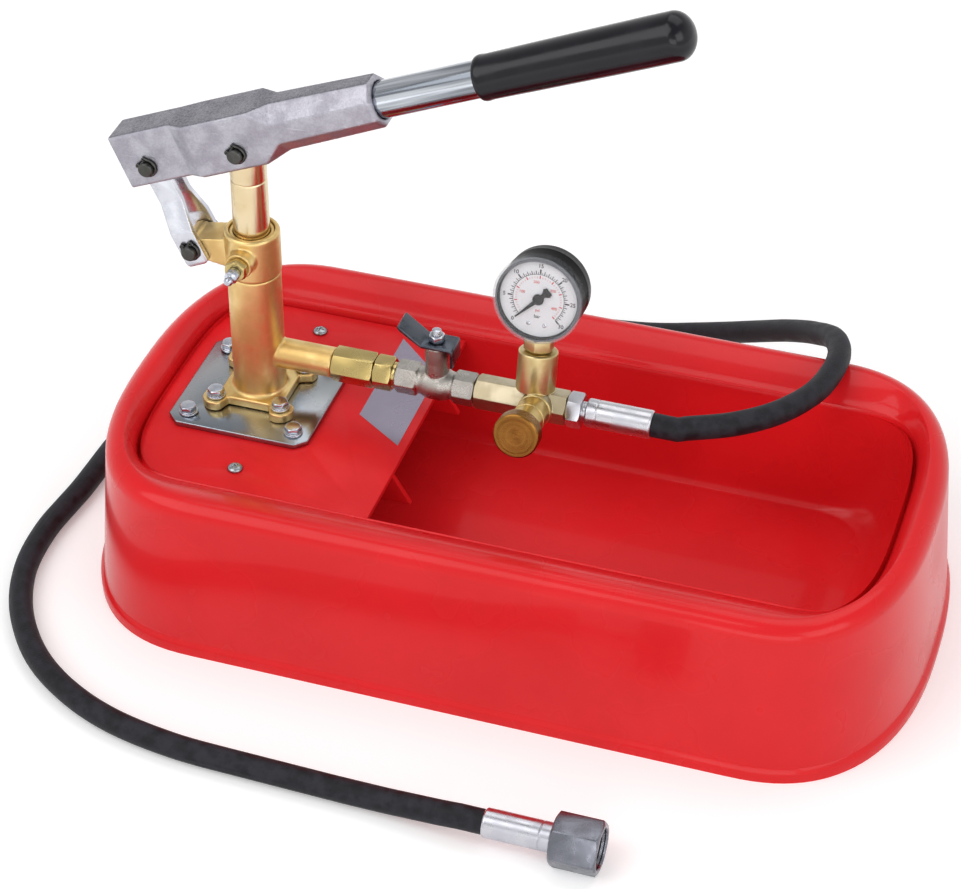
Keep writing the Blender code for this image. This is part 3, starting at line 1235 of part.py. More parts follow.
def make_hose():
    """The hose fitting, the hose with a ferrule at each end, and the swivel nut on its far end."""
    tail = FITTING_NECK_RADIUS - FITTING_NECK_LENGTH / 2
    along = (FITTING_X, 0, PIPE_Z)
    fitting = add("hose_fitting", many_sided(6, FITTING_FLATS, FITTING_HEX_LENGTH), STEEL, along, RIGHT)
    join(fitting, round_bar(PORT_RADIUS - GAP, 2 * THREAD_LENGTH), (FITTING_X - THREAD_LENGTH, 0, PIPE_Z), RIGHT)
    middle = FITTING_HEX_LENGTH / 2
    neck = (FITTING_X + middle, 0, PIPE_Z)
    join(fitting, round_bar(FITTING_NECK_RADIUS, middle + FITTING_NECK_LENGTH), neck, RIGHT)
    tail_length = middle + FITTING_NECK_LENGTH + GAP + TAIL_LENGTH
    join(fitting, round_bar(tail, tail_length), neck, RIGHT)
    bore_start = FITTING_X - THREAD_LENGTH - OVERRUN
    bore_length = HOSE_X - bore_start
    drill(fitting, THREAD_BORE, (bore_start, 0, PIPE_Z), RIGHT, bore_length)
    add("near_ferrule", ferrule_mesh(), STEEL, (FERRULE_X, 0, PIPE_Z), RIGHT)

    far_z = NUT_AF / 2
    nut_x = FAR_END_X - NUT_LENGTH
    ferrule_end = nut_x - GAP
    hose_end = ferrule_end - FERRULE_LENGTH - GAP
    add("far_ferrule", ferrule_mesh(), STEEL, (ferrule_end, FAR_END_Y, far_z), -RIGHT)
    straight = 2 * HOSE_RADIUS
    route = [Vector((HOSE_X, 0, PIPE_Z)), Vector((HOSE_X + straight, 0, PIPE_Z))]
    route += [Vector((HOSE_X + x, y * TANK_WIDTH / 2, TANK_HEIGHT + z)) for x, y, z in HOSE_OVER_RIM]
    rest = HOSE_RADIUS + GAP
    route += [
        Vector((x * TANK_LENGTH / 2, y * TANK_WIDTH / 2, rest + z * TANK_HEIGHT)) for x, y, z in HOSE_ROUND_TANK_shares
    ]
    route += [Vector((hose_end - straight, FAR_END_Y, far_z)), Vector((hose_end, FAR_END_Y, far_z))]
    add("hose", tube(smooth_route(route, HOSE_SPACING), HOSE_RADIUS), HOSE_BLACK)

    back = NUT_BACK + GAP
    shank = CONE_COLLAR - FITTING_NECK_LENGTH
    section = (
        (THREAD_BORE, CONE_LENGTH),
        (CONE_TIP, CONE_LENGTH),
        (CONE_COLLAR, (CONE_LENGTH + back) / 2),
        (CONE_COLLAR, back),
        (shank, back),
        (shank, 0),
        (tail, 0),
        (tail, -TAIL_LENGTH),
        (THREAD_BORE, -TAIL_LENGTH),
    )
    add("hose_cone", turned(section, hollow=True), STEEL, (nut_x, FAR_END_Y, far_z), RIGHT)
    nut = add("swivel_nut", many_sided(6, NUT_AF, NUT_LENGTH), STEEL, (nut_x, FAR_END_Y, far_z), RIGHT)
    corner = NUT_AF / 2 / math.cos(math.pi / 6)
    barrel = (
        (0, NUT_LENGTH + OVERRUN),
        (corner - NUT_EDGE - OVERRUN, NUT_LENGTH + OVERRUN),
        (corner, NUT_LENGTH - NUT_EDGE),
        (corner, NUT_EDGE),
        (corner - NUT_EDGE - OVERRUN, -OVERRUN),
        (0, -OVERRUN),
    )
    combine(nut, "INTERSECT", turned(barrel, ROUND_SIDES), (nut_x, FAR_END_Y, far_z), RIGHT)
    bore = (
        (0, NUT_LENGTH + OVERRUN),
        (NUT_BORE, NUT_LENGTH + OVERRUN),
        (NUT_BORE, NUT_BACK),
        (shank + GAP, NUT_BACK),
        (shank + GAP, -OVERRUN),
        (0, -OVERRUN),
    )
    cut(nut, turned(bore), (nut_x, FAR_END_Y, far_z), RIGHT)


# Lever, pins and links
def cast_ring(along, half, low, high, edge):
    """An eight-sided section of the casting, square to the lever."""
    right = [(half - edge, high), (half, high - edge), (half, low + edge), (half - edge, low)]
    section = right + [(-y, z) for y, z in right[::-1]]
    return [(along, y, z) for y, z in section]


def make_pin(name, half_width, place, parent=None):
    """A headed pin across the pump, with a groove and a spring clip at its front end."""
    clip = half_width + GAP
    end = clip + CLIP_THICK + PIN_STICK_OUT
    head = -half_width - GAP
    groove = PIN_RADIUS - CLIP_GROOVE
    profile = (
        (0, end),
        (groove, end),
        (PIN_RADIUS, end - CLIP_GROOVE),
        (PIN_RADIUS, clip + CLIP_THICK + GAP),
        (groove, clip + CLIP_THICK + GAP),
        (groove, clip - GAP),
        (PIN_RADIUS, clip - GAP),
        (PIN_RADIUS, head),
        (PIN_HEAD_RADIUS, head),
        (PIN_HEAD_RADIUS, head - PIN_HEAD_THICK),
        (0, head - PIN_HEAD_THICK),
    )
    add(name, turned(profile, SMALL_SIDES), DARK_STEEL, place, FRONT, parent)
    mouth = math.degrees(math.asin(CLIP_MOUTH / 2 / groove))
    outline = arc(CLIP_RADIUS, 120 + mouth, 480 - mouth, 14)
    outline += arc(groove + GAP, 480 - mouth, 120 + mouth, 14)
    front = (place[0], place[1] - clip - CLIP_THICK / 2, place[2])
    add(name + "_clip", slab(outline, CLIP_THICK), DARK_STEEL, front, FRONT, parent)


def make_lever():
    """The lever: its slotted casting, the handle tube and the grip, turning on the plunger's eye."""
    arm = add_empty("lever_pivot", (COLUMN_X, 0, EYE_Z), (0, -LEVER_ANGLE, 0))
    socket = SOCKET_FLATS / 2
    end = socket - SOCKET_TAPER / 2
    oct_edge = SOCKET_FLATS * OCTAGON_share
    end_edge = 2 * end * OCTAGON_share
    tip = end - SOCKET_CHAMFER
    rings = (
        cast_ring(-CAST_REAR, CAST_REAR_HALF, -CAST_REAR_LOW, CAST_REAR_HIGH, CAST_EDGE),
        cast_ring(-CHEEK_BACK - CHEEK_FLARE, CAST_REAR_HALF, -CAST_REAR_LOW, CAST_REAR_HIGH, CAST_EDGE),
        cast_ring(-CHEEK_BACK, CHEEK_HALF, -CHEEK_LOW, CHEEK_HIGH, CAST_EDGE),
        cast_ring(CHEEK_FRONT, CHEEK_HALF, -CHEEK_LOW, CHEEK_HIGH, CAST_EDGE),
        cast_ring(SOCKET_START, socket, TUBE_RISE - socket, TUBE_RISE + socket, oct_edge),
        cast_ring(SOCKET_END - SOCKET_CHAMFER, end, TUBE_RISE - end, TUBE_RISE + end, end_edge),
        cast_ring(SOCKET_END, tip, TUBE_RISE - tip, TUBE_RISE + tip, 2 * tip * OCTAGON_share),
    )
    casting = add("lever_casting", loft(rings), CAST, parent=arm)
    low = -CHEEK_LOW - OVERRUN
    roof = CHEEK_HIGH - CAST_ROOF
    slot_half = PLUNGER_RADIUS + GAP
    rod_slot = block(
        (ROD_SLOT_BACK + ROD_SLOT_FRONT, 2 * slot_half, roof - low),
        ((ROD_SLOT_FRONT - ROD_SLOT_BACK) / 2, 0, (roof + low) / 2),
    )
    cut(casting, rod_slot, parent=arm)
    rear = CAST_REAR + OVERRUN
    rear_half = STRAP_TOP_Y + STRAP_THICK + GAP
    rear_roof = CAST_REAR_HIGH - CAST_ROOF
    link_slot = block((rear, 2 * rear_half, rear_roof - low), (-rear / 2, 0, (rear_roof + low) / 2))
    cut(casting, link_slot, parent=arm)
    tube_start = SOCKET_END - TUBE_INSERT
    bore_place = (tube_start - GAP, 0, TUBE_RISE)
    drill(casting, TUBE_RADIUS + GAP, bore_place, RIGHT, TUBE_INSERT + OVERRUN, arm, PIPE_SIDES)
    top = (-LINK_ARM, 0, LINK_ARM_RISE)
    for x, half, z in ((0, CHEEK_HALF, 0), (top[0], CAST_REAR_HALF, top[2])):
        across = half + OVERRUN
        drill(casting, PIN_RADIUS + HOLE_GAP, (x, across, z), FRONT, 2 * across, arm)

    grip_end = GRIP_START + GRIP_LENGTH
    bore_end = grip_end - GRIP_END_WALL
    inner = TUBE_RADIUS - TUBE_WALL
    length = bore_end - GAP - tube_start
    section = ((inner, length), (TUBE_RADIUS, length), (TUBE_RADIUS, 0), (inner, 0))
    add("handle_tube", turned(section, hollow=True), STEEL, (tube_start, 0, TUBE_RISE), RIGHT, arm)
    dome = []
    for step in range(DOME_STEPS + 1):
        angle = math.pi / 2 * (1 - step / DOME_STEPS)
        height = GRIP_LENGTH - GRIP_DOME + GRIP_DOME * math.sin(angle)
        dome.append((GRIP_RADIUS * max(math.cos(angle), 0), height))
    dome[0] = (0, GRIP_LENGTH)
    hole = TUBE_RADIUS + GAP
    profile = dome + [
        (GRIP_NECK_RADIUS, GRIP_LIP),
        (GRIP_NECK_RADIUS - GRIP_LIP, 0),
        (hole, 0),
        (hole, GRIP_LENGTH - GRIP_END_WALL),
        (0, GRIP_LENGTH - GRIP_END_WALL),
    ]
    add("grip", turned(profile), GRIP_BLACK, (GRIP_START, 0, TUBE_RISE), RIGHT, arm)
    make_pin("plunger_pin", CHEEK_HALF, (0, 0, 0), arm)
    make_pin("link_top_pin", CAST_REAR_HALF, top, arm)


def make_links():
    """The two bent straps between the head's ear and the lever, and the pin they swing on."""
    lean = math.atan2(LINK_TOP.x - LINK_FOOT.x, LINK_TOP.z - LINK_FOOT.z)
    frame = add_empty("link_pivot", LINK_FOOT, (0, lean, 0))
    low_y = EAR_HALF + GAP
    eye = PIN_RADIUS + STRAP_EYE_GAP + STRAP_EYE_WALL
    foot = -STRAP_FOOT
    top = LINK_LENGTH + eye
    inner = ((foot, low_y), (STRAP_BEND_LOW, low_y), (STRAP_BEND_HIGH, STRAP_TOP_Y), (top, STRAP_TOP_Y))
    profile = list(inner) + [(height, y + STRAP_THICK) for height, y in inner[::-1]]
    meet = math.degrees(math.acos(STRAP_HALF / eye))
    plan = [(-STRAP_HALF, foot + STRAP_CORNER), (-STRAP_HALF + STRAP_CORNER, foot)]
    plan += [(STRAP_HALF - STRAP_CORNER, foot), (STRAP_HALF, foot + STRAP_CORNER)]
    plan += arc(eye, -meet, 180 + meet, 16, (0, LINK_LENGTH))
    widest = 2 * (low_y + STRAP_THICK + OVERRUN)
    for name, side in (("link_strap_front", -1), ("link_strap_rear", 1)):
        outline = [(-height, side * y) for height, y in profile]
        strap = add(name, slab(outline, 2 * (eye + OVERRUN)), STEEL, (0, 0, 0), RIGHT, frame)
        combine(strap, "INTERSECT", slab(plan, widest), (0, 0, 0), FRONT, frame)
        drill(strap, PIN_RADIUS + HOLE_GAP, (0, widest / 2, 0), FRONT, widest, frame)
        drill(strap, PIN_RADIUS + STRAP_EYE_GAP, (0, widest / 2, LINK_LENGTH), FRONT, widest, frame)
    make_pin("link_foot_pin", low_y + STRAP_THICK, tuple(LINK_FOOT))


make_tank()
make_deck()
make_base_plate()
make_column()
make_head()
make_plunger()
make_suction()
make_delivery()
make_shutoff()
manifold_frame = add_empty("manifold_lean", (MANIFOLD_X, 0, PIPE_Z), (-MANIFOLD_LEAN, 0, 0))
make_manifold(manifold_frame)
make_gauge(manifold_frame)
make_drain(manifold_frame)
make_hose()
make_lever()
make_links()
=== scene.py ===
"""Hydrostatic test pump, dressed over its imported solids.

A red water tank carries a brass lever pump, a gauge and a hose. Metres, +Z up, in the frame of the solids:
the origin is the centre of the tank's foot, +X runs to the open basin, and -Y faces the user.
"""

import math

import bmesh
import bpy
from mathutils import Matrix, Vector


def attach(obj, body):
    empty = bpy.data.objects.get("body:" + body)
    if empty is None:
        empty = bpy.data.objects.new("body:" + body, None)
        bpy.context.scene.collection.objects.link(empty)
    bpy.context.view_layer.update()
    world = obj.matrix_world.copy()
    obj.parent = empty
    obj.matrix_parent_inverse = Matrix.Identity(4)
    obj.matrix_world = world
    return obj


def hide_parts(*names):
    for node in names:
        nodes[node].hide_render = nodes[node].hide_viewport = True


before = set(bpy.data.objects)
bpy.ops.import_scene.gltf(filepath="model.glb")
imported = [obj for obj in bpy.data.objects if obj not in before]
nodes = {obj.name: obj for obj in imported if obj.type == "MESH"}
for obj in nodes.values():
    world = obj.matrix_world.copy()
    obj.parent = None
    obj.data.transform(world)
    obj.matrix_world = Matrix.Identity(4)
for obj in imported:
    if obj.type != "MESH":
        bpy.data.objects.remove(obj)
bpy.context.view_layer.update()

# Sizes and places shared with the solids
GAP = 0.0003
TANK = {"length": 0.450, "width": 0.245, "height": 0.0922, "wall": 0.0025, "end_depth": 0.0837}
LIP_HEIGHT = 0.006
LIP_PROUD = 0.002
TANK_LEAN = 0.0062
RIM_RADIUS = 0.0095
CREST_X = 0.2073
CREST_Y = 0.1048
OUTER_BULGE = 2.48
BASIN_BULGE = 3.5
SHOULDER = {"drop": 0.0122, "end": 0.0088, "side": 0.0234}
BASIN_END_DEPTH = 0.045
FLOOR_HEIGHT = 0.020
WALL_LEAN = {"end": 0.0265, "side": 0.0125}
DECK_TOP = 0.0803
DECK_THICK = 0.003
DECK_EDGE_X = -0.0593
DECK_GAP = 0.0014
COLUMN_X = -0.1475
PLATE_TOP = 0.0836
FLANGE_BOTTOM = 0.0839
FLANGE_TOP = 0.0891
COLUMN_TOP = 0.1620
HEAD_BOTTOM = 0.1623
HEAD_TOP = 0.1875
EYE_Z = 0.2400
EAR = Vector((-0.1770, 0, 0.1745))
PIPE_Z = 0.1115
DELIVERY_X = -0.1044
UNION_X = -0.0817
STEM_X = -0.0483
MANIFOLD_X = -0.0265
FITTING_X = 0.0228
FERRULE_X = 0.0328
HOSE_X = 0.0676
FAR_END_X = 0.101
FAR_END_Y = -0.2006
NUT_AF = 0.0248
NUT_LENGTH = 0.0240
LEAN = math.radians(13)
LEVER_ANGLE = math.radians(23)
TUBE_RISE = 0.00605
GAUGE_AXIS_Z = 0.0607
POST_OFFSET = 0.0307
DRAIN_OFFSET = 0.0338
LINK_PIN = (-0.0544, 0, 0.0015)
GRIP_START = 0.1360
GRIP_LENGTH = 0.1120
FERRULE_LENGTH = 0.0345
PLATE_BOLTS = 0.0295
FLANGE_BOLTS = 0.018
BOLT_HOLE = 0.0028
PIN_HOLE = 0.0043
THREAD_RADIUS = 0.0047
THREAD_END = -0.005
SUCTION_HOLE = 0.0051
PACKING_DROP = 0.0112
SEAL_INNER = 0.0098
SEAL_OUTER = 0.0116
OVERRUN = 0.001

CORNERS = [(x, y) for x in (-1, 1) for y in (-1, 1)]
SIDES = (-1, 1)
UP = Vector((0, 0, 1))
RIGHT = Vector((1, 0, 0))
FRONT = Vector((0, -1, 0))
shift = Matrix.Translation

LEAN_FRAME = shift((MANIFOLD_X, 0, PIPE_Z)) @ Matrix.Rotation(-LEAN, 4, "X")
DIAL_FRAME = LEAN_FRAME @ shift((POST_OFFSET, 0, GAUGE_AXIS_Z))
LEVER_FRAME = shift((COLUMN_X, 0, EYE_Z)) @ Matrix.Rotation(-LEVER_ANGLE, 4, "Y")


# Camera
def new_object(name, data):
    """An object with this data, linked to the scene."""
    made = bpy.data.objects.new(name, data)
    bpy.context.scene.collection.objects.link(made)
    return made


def facing(place, target):
    """The turn of a camera or a lamp at a place that faces a target."""
    return (Vector(target) - Vector(place)).to_track_quat("-Z", "Y").to_euler()


CAMERA_PLACE = (0.3448, -1.1412, 1.0243)
CAMERA_TARGET = (-0.0248, 0, 0.0764)
camera_data = bpy.data.cameras.new("photo_view")
camera_data.lens = 109.4
camera_data.sensor_width = 36
camera = new_object("photo_view", camera_data)
camera.location = CAMERA_PLACE
camera.rotation_euler = facing(CAMERA_PLACE, CAMERA_TARGET)
bpy.context.scene.camera = camera
bpy.context.scene.view_settings.view_transform = "Standard"


# Mesh making
def smooth(mesh, sharp):
    """The mesh shaded smooth, but for edges sharper than so many degrees."""
    mesh.shade_smooth()
    mesh.set_sharp_from_angle(angle=math.radians(sharp))
    return mesh


def new_mesh(shape, sharp=32):
    """A bmesh as a smooth mesh with its hard edges kept sharp."""
    mesh = bpy.data.meshes.new("shape")
    shape.to_mesh(mesh)
    shape.free()
    return smooth(mesh, sharp)


def taken_mesh(maker):
    """What an object's modifiers, curve or text make, as a plain mesh. The object is removed."""
    bpy.context.view_layer.update()
    graph = bpy.context.evaluated_depsgraph_get()
    result = bpy.data.meshes.new_from_object(maker.evaluated_get(graph))
    bpy.data.objects.remove(maker)
    return result


def evaluated(mesh, *modifiers):
    """The mesh after a row of (type, settings) modifiers."""
    maker = new_object("maker", mesh)
    for kind, settings in modifiers:
        modifier = maker.modifiers.new(kind, kind)
        for name, value in settings.items():
            setattr(modifier, name, value)
    return taken_mesh(maker)


def along(direction, place=(0, 0, 0)):
    """A matrix that turns +Z to a direction and moves the origin to a place."""
    return shift(place) @ UP.rotation_difference(Vector(direction)).to_matrix().to_4x4()


def moved(mesh, matrix):
    """The mesh with a matrix worked into its points."""
    mesh.transform(matrix)
    return mesh


def polar(radius, degrees):
    """A place at a radius and an angle."""
    return radius * math.cos(math.radians(degrees)), radius * math.sin(math.radians(degrees))


def lathe(profile, steps=72, hollow=False):
    """A shape turned about +Z from (radius, height) points that run down its outer side."""
    on_axis = 1e-7
    shape = bmesh.new()
    rows = []
    for radius, height in profile:
        row = []
        for i in range(1 if radius < on_axis else steps):
            angle = 2 * math.pi * i / steps
            reach = 0 if radius < on_axis else radius
            row.append(shape.verts.new((reach * math.cos(angle), reach * math.sin(angle), height)))
        rows.append(row)
    pairs = list(zip(rows, rows[1:]))
    if hollow:
        pairs.append((rows[-1], rows[0]))
    for upper, lower in pairs:
        if len(upper) == len(lower) == 1:
            continue
        for i in range(steps):
            j = (i + 1) % steps
            if len(upper) == 1:
                shape.faces.new((upper[0], lower[i], lower[j]))
            elif len(lower) == 1:
                shape.faces.new((upper[j], upper[i], lower[0]))
            else:
                shape.faces.new((upper[j], upper[i], lower[i], lower[j]))
    return new_mesh(shape)


def eased(profile, radius=0.0004, steps=3, hollow=False):
    """The profile with each of its corners rounded off."""
    count = len(profile)
    result = []
    for i, point in enumerate(profile):
        if not hollow and i in (0, count - 1):
            result.append(point)
            continue
        here = Vector(point)
        before = Vector(profile[i - 1]) - here
        after = Vector(profile[(i + 1) % count]) - here
        reach = min(radius, before.length * 0.45, after.length * 0.45)
        bend = math.pi - before.angle(after)
        if bend < math.radians(12):
            result.append(point)
            continue
        start = here + before.normalized() * reach
        end = here + after.normalized() * reach
        for step in range(steps + 1):
            t = step / steps
            result.append(tuple(start * (1 - t) ** 2 + here * 2 * t * (1 - t) + end * t**2))
    return result


def round_bar(radius, low, high, steps=72, ease=0.0):
    """A round bar along +Z between two heights."""
    profile = [(0, high), (radius, high), (radius, low), (0, low)]
    return lathe(eased(profile, ease) if ease else profile, steps)


def round_pipe(inner, outer, low, high, steps=64, ease=0.0, ease_steps=3):
    """A round pipe along +Z between two heights."""
    profile = [(inner, high), (outer, high), (outer, low), (inner, low)]
    return lathe(eased(profile, ease, ease_steps, True) if ease else profile, steps, True)


def prism(outline, low, high):
    """A plate of an (x, y) outline, given anticlockwise, between two heights."""
    shape = bmesh.new()
    base = [shape.verts.new((x, y, low)) for x, y in outline]
    top = [shape.verts.new((x, y, high)) for x, y in outline]
    shape.faces.new(base[::-1])
    shape.faces.new(top)
    for i in range(len(outline)):
        j = (i + 1) % len(outline)
        shape.faces.new((base[i], base[j], top[j], top[i]))
    return new_mesh(shape)


def box_mesh(low, high):
    """A box between two corners."""
    corners = [(low[0], low[1]), (high[0], low[1]), (high[0], high[1]), (low[0], high[1])]
    return prism(corners, low[2], high[2])


def arc(radius, start, end, steps, centre=(0, 0)):
    """Points of an arc, both ends among them, in degrees."""
    angles = [math.radians(start + (end - start) * i / steps) for i in range(steps + 1)]
    return [(centre[0] + radius * math.cos(a), centre[1] + radius * math.sin(a)) for a in angles]


def profile_arc(across, up, degrees, centre=(0, 0)):
    """Points of a rounded stretch of a profile, at angles from +Z."""
    angles = [math.radians(a) for a in degrees]
    return [(centre[0] + across * math.sin(a), centre[1] + up * math.cos(a)) for a in angles]


def loft(rings, capped=(True, True)):
    """Skin a row of closed rings with as many points each."""
    shape = bmesh.new()
    rows = [[shape.verts.new(point) for point in ring] for ring in rings]
    for row, following in zip(rows, rows[1:]):
        for i, corner in enumerate(row):
            j = (i + 1) % len(row)
            shape.faces.new((corner, row[j], following[j], following[i]))
    for row, close in zip((rows[0][::-1], rows[-1]), capped):
        if close:
            shape.faces.new(row)
    return new_mesh(shape)


def merged(*meshes):
    """Several meshes as one, side by side."""
    shape = bmesh.new()
    for mesh in meshes:
        shape.from_mesh(mesh)
    return new_mesh(shape)


def combined(mesh, operation, *tools):
    """The mesh after a Boolean with each tool in turn."""
    for tool in tools:
        cutter = new_object("cutter", tool)
        settings = {"operation": operation, "object": cutter, "solver": "MANIFOLD"}
        mesh = evaluated(mesh, ("BOOLEAN", settings))
        bpy.data.objects.remove(cutter)
    return mesh


def cleaned(mesh, sharp=32):
    """The mesh with doubles merged, flat faces joined, and smooth shading between sharp edges."""
    shape = bmesh.new()
    shape.from_mesh(mesh)
    bmesh.ops.remove_doubles(shape, verts=shape.verts, dist=2e-6)
    bmesh.ops.dissolve_limit(shape, angle_limit=math.radians(1), verts=shape.verts, edges=shape.edges)
    return new_mesh(shape, sharp=sharp)


def bevelled(mesh, width, segments=2, sharp=32):
    """The mesh with its sharp edges rounded."""
    settings = {"width": width, "segments": segments, "limit_method": "ANGLE",
                "angle_limit": math.radians(sharp), "harden_normals": False, "use_clamp_overlap": True}
    result = evaluated(cleaned(mesh, sharp), ("BEVEL", settings))
    return smooth(result, 50)


def cast(mesh, voxel, rounds=8):
    """The mesh as a casting: its corners melt into small fillets."""
    result = evaluated(
        mesh,
        ("REMESH", {"mode": "VOXEL", "voxel_size": voxel, "use_smooth_shade": True}),
        ("SMOOTH", {"factor": 0.5, "iterations": rounds}),
    )
    result.shade_smooth()
    return result


def hex_bar(flats, low, high, chamfer=0.0008, hole=0.0):
    """A six-sided bar along +Z, a flat facing X, its corners turned down at both ends."""
    corner = flats / 2 / math.cos(math.pi / 6)
    bar = prism([polar(corner, 30 + 60 * i) for i in range(6)], low, high)
    slope = chamfer * 1.6
    turning = [(0, high), (corner - slope, high), (corner + GAP, high - chamfer - GAP * 0.6)]
    turning += [(corner + GAP, low + chamfer + GAP * 0.6), (corner - slope, low), (0, low)]
    bar = combined(bar, "INTERSECT", lathe(turning))
    if hole:
        bar = combined(bar, "DIFFERENCE", round_bar(hole, low - OVERRUN, high + OVERRUN))
    return bevelled(bar, 0.00022, 2, 22)


def piece(name, mesh, material, body, *replaced, slot=None):
    """Put a finished mesh in the scene, riding on a body, for the CAD nodes it stands for."""
    mesh.materials.clear()
    mesh.materials.append(material)
    made = new_object(name, mesh)
    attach(made, body)
    if replaced:
        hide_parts(*replaced)
    return made


def copy_of(node):
    """A clean copy of a solid's mesh."""
    return cleaned(nodes[node].data.copy())


# Shared effects of the finishes
FLOAT = "NodeSocketFloat"
VECTOR = "NodeSocketVector"
MIX_FIRST, MIX_SECOND, MIX_COLOUR = 6, 7, 2


def feed(tree, socket, value):
    """Link another socket to this one, or set its number. None leaves it as it is."""
    if isinstance(value, bpy.types.NodeSocket):
        tree.links.new(value, socket)
    elif value is not None:
        socket.default_value = value


def add_node(tree, kind, inputs=None, **settings):
    """A node with its settings made, and its inputs fed with sockets or values."""
    node = tree.nodes.new(kind)
    for name, value in settings.items():
        setattr(node, name, value)
    for label, value in (inputs or {}).items():
        feed(tree, node.inputs[label], value)
    return node


def new_group(name, inputs, outputs):
    """An empty shader group with named sockets: the tree, what it is given and what it puts out."""
    group = bpy.data.node_groups.new(name, "ShaderNodeTree")
    for label, value in inputs.items():
        kind = VECTOR if value is None else FLOAT
        socket = group.interface.new_socket(label, in_out="INPUT", socket_type=kind)
        if value is not None:
            socket.default_value = value
    for label, kind in outputs.items():
        group.interface.new_socket(label, in_out="OUTPUT", socket_type=kind)
    return group, group.nodes.new("NodeGroupInput").outputs, group.nodes.new("NodeGroupOutput").inputs


def math_node(tree, operation, first, second=None, clamp=False):
    """The value of a Math node fed by sockets or numbers."""
    inputs = {0: first, 1: second}
    return add_node(tree, "ShaderNodeMath", inputs, operation=operation, use_clamp=clamp).outputs[0]


def dot_product(tree, first, second):
    """How far two directions agree."""
    inputs = {0: first, 1: second}
    return add_node(tree, "ShaderNodeVectorMath", inputs, operation="DOT_PRODUCT").outputs["Value"]


def spread(tree, value, low, high, start=0.0, end=1.0):
    """A value mapped from one range to another, held at its ends."""
    inputs = {"Value": value, "From Min": low, "From Max": high, "To Min": start, "To Max": end}
    return add_node(tree, "ShaderNodeMapRange", inputs, interpolation_type="SMOOTHSTEP").outputs[0]


def noise(tree, vector, scale, detail=3.0, roughness=0.5, dimensions="3D"):
    """The value of a noise texture, read from a vector or, in 1D, from a number."""
    inputs = {"W" if dimensions == "1D" else "Vector": vector, "Scale": scale, "Detail": detail,
              "Roughness": roughness}
    return add_node(tree, "ShaderNodeTexNoise", inputs, noise_dimensions=dimensions).outputs["Fac"]


def make_edge_group():
    """Edges painted bright, part wear and part painted highlight: 1 where the surface turns sharply, 0 on the
    flats.
    """
    group, given, result = new_group("edge_wear_and_highlight", {"Width": 0.0006, "Patchiness": 0.4, "Vector": None},
                                     {"Mask": FLOAT, "Normal": VECTOR})
    rounded = add_node(group, "ShaderNodeBevel", {"Radius": given["Width"]}, samples=6).outputs[0]
    true_normal = group.nodes.new("ShaderNodeNewGeometry").outputs["Normal"]
    turned_away = math_node(group, "SUBTRACT", 1.0, dot_product(group, rounded, true_normal))
    edge = spread(group, turned_away, 0.01, 0.16)
    patches = noise(group, given["Vector"], 260.0, 4.0, 0.6)
    held = math_node(group, "MULTIPLY", spread(group, patches, 0.35, 0.65), given["Patchiness"])
    feed(group, result["Mask"], math_node(group, "SUBTRACT", edge, held, clamp=True))
    feed(group, result["Normal"], rounded)
    return group


def make_lathe_group():
    """Fine turning lines round the local Z axis, on the sides and on the end faces."""
    group, given, result = new_group("turning_lines", {"Vector": None, "Fineness": 2600.0},
                                     {"Height": FLOAT, "Shade": FLOAT})
    parts = add_node(group, "ShaderNodeSeparateXYZ", {0: given["Vector"]}).outputs
    squares = [math_node(group, "MULTIPLY", parts[axis], parts[axis]) for axis in "XY"]
    flat = math_node(group, "SQRT", math_node(group, "ADD", *squares))
    reach = math_node(group, "ADD", flat, math_node(group, "MULTIPLY", parts["Z"], 1.13))
    coarser = math_node(group, "MULTIPLY", given["Fineness"], 0.13)
    wide = noise(group, reach, coarser, 2.0, 0.5, "1D")
    feed(group, result["Height"], noise(group, reach, given["Fineness"], 3.0, 0.6, "1D"))
    feed(group, result["Shade"], spread(group, wide, 0.3, 0.7))
    return group


def make_grain_group():
    """The skin of a casting or a moulding: small lumps, pits and speckles."""
    group, given, result = new_group("cast_grain", {"Vector": None, "Size": 0.0008},
                                     {"Height": FLOAT, "Speckle": FLOAT})
    scale = math_node(group, "DIVIDE", 1.0, given["Size"])
    lumps = noise(group, given["Vector"], scale, 3.0, 0.55)
    pits = add_node(group, "ShaderNodeTexVoronoi",
                    {"Vector": given["Vector"], "Scale": math_node(group, "MULTIPLY", scale, 0.8)})
    dent = spread(group, pits.outputs["Distance"], 0.0, 0.32)
    speck = noise(group, given["Vector"], math_node(group, "MULTIPLY", scale, 0.55), 5.0, 0.75)
    feed(group, result["Height"], math_node(group, "ADD", lumps, math_node(group, "MULTIPLY", dent, 0.35)))
    feed(group, result["Speckle"], spread(group, speck, 0.42, 0.62))
    return group


def make_tone_patch_group():
    """Soft patches where hands and air have dulled the surface; drawn out on the polished tube, painted
    reflection streaks.
    """
    group, given, result = new_group("handling_marks_and_painted_streaks", {"Vector": None, "Size": 0.02},
                                     {"Patch": FLOAT, "Scratch": FLOAT})
    patch = noise(group, given["Vector"], math_node(group, "DIVIDE", 1.0, given["Size"]), 3.0, 0.55)
    drawn = add_node(group, "ShaderNodeMapping", {"Vector": given["Vector"], "Rotation": (0.4, 0.3, 0.7),
                                                  "Scale": (60.0, 1400.0, 900.0)})
    lines = noise(group, drawn.outputs[0], 1.0, 2.0, 0.5)
    feed(group, result["Patch"], spread(group, patch, 0.35, 0.65))
    feed(group, result["Scratch"], spread(group, lines, 0.68, 0.74))
    return group


EDGES = make_edge_group()
LATHE = make_lathe_group()
GRAIN = make_grain_group()
TONE_PATCHES = make_tone_patch_group()
COAT_ROUGHNESS = 0.06
RELIEF = 0.0002


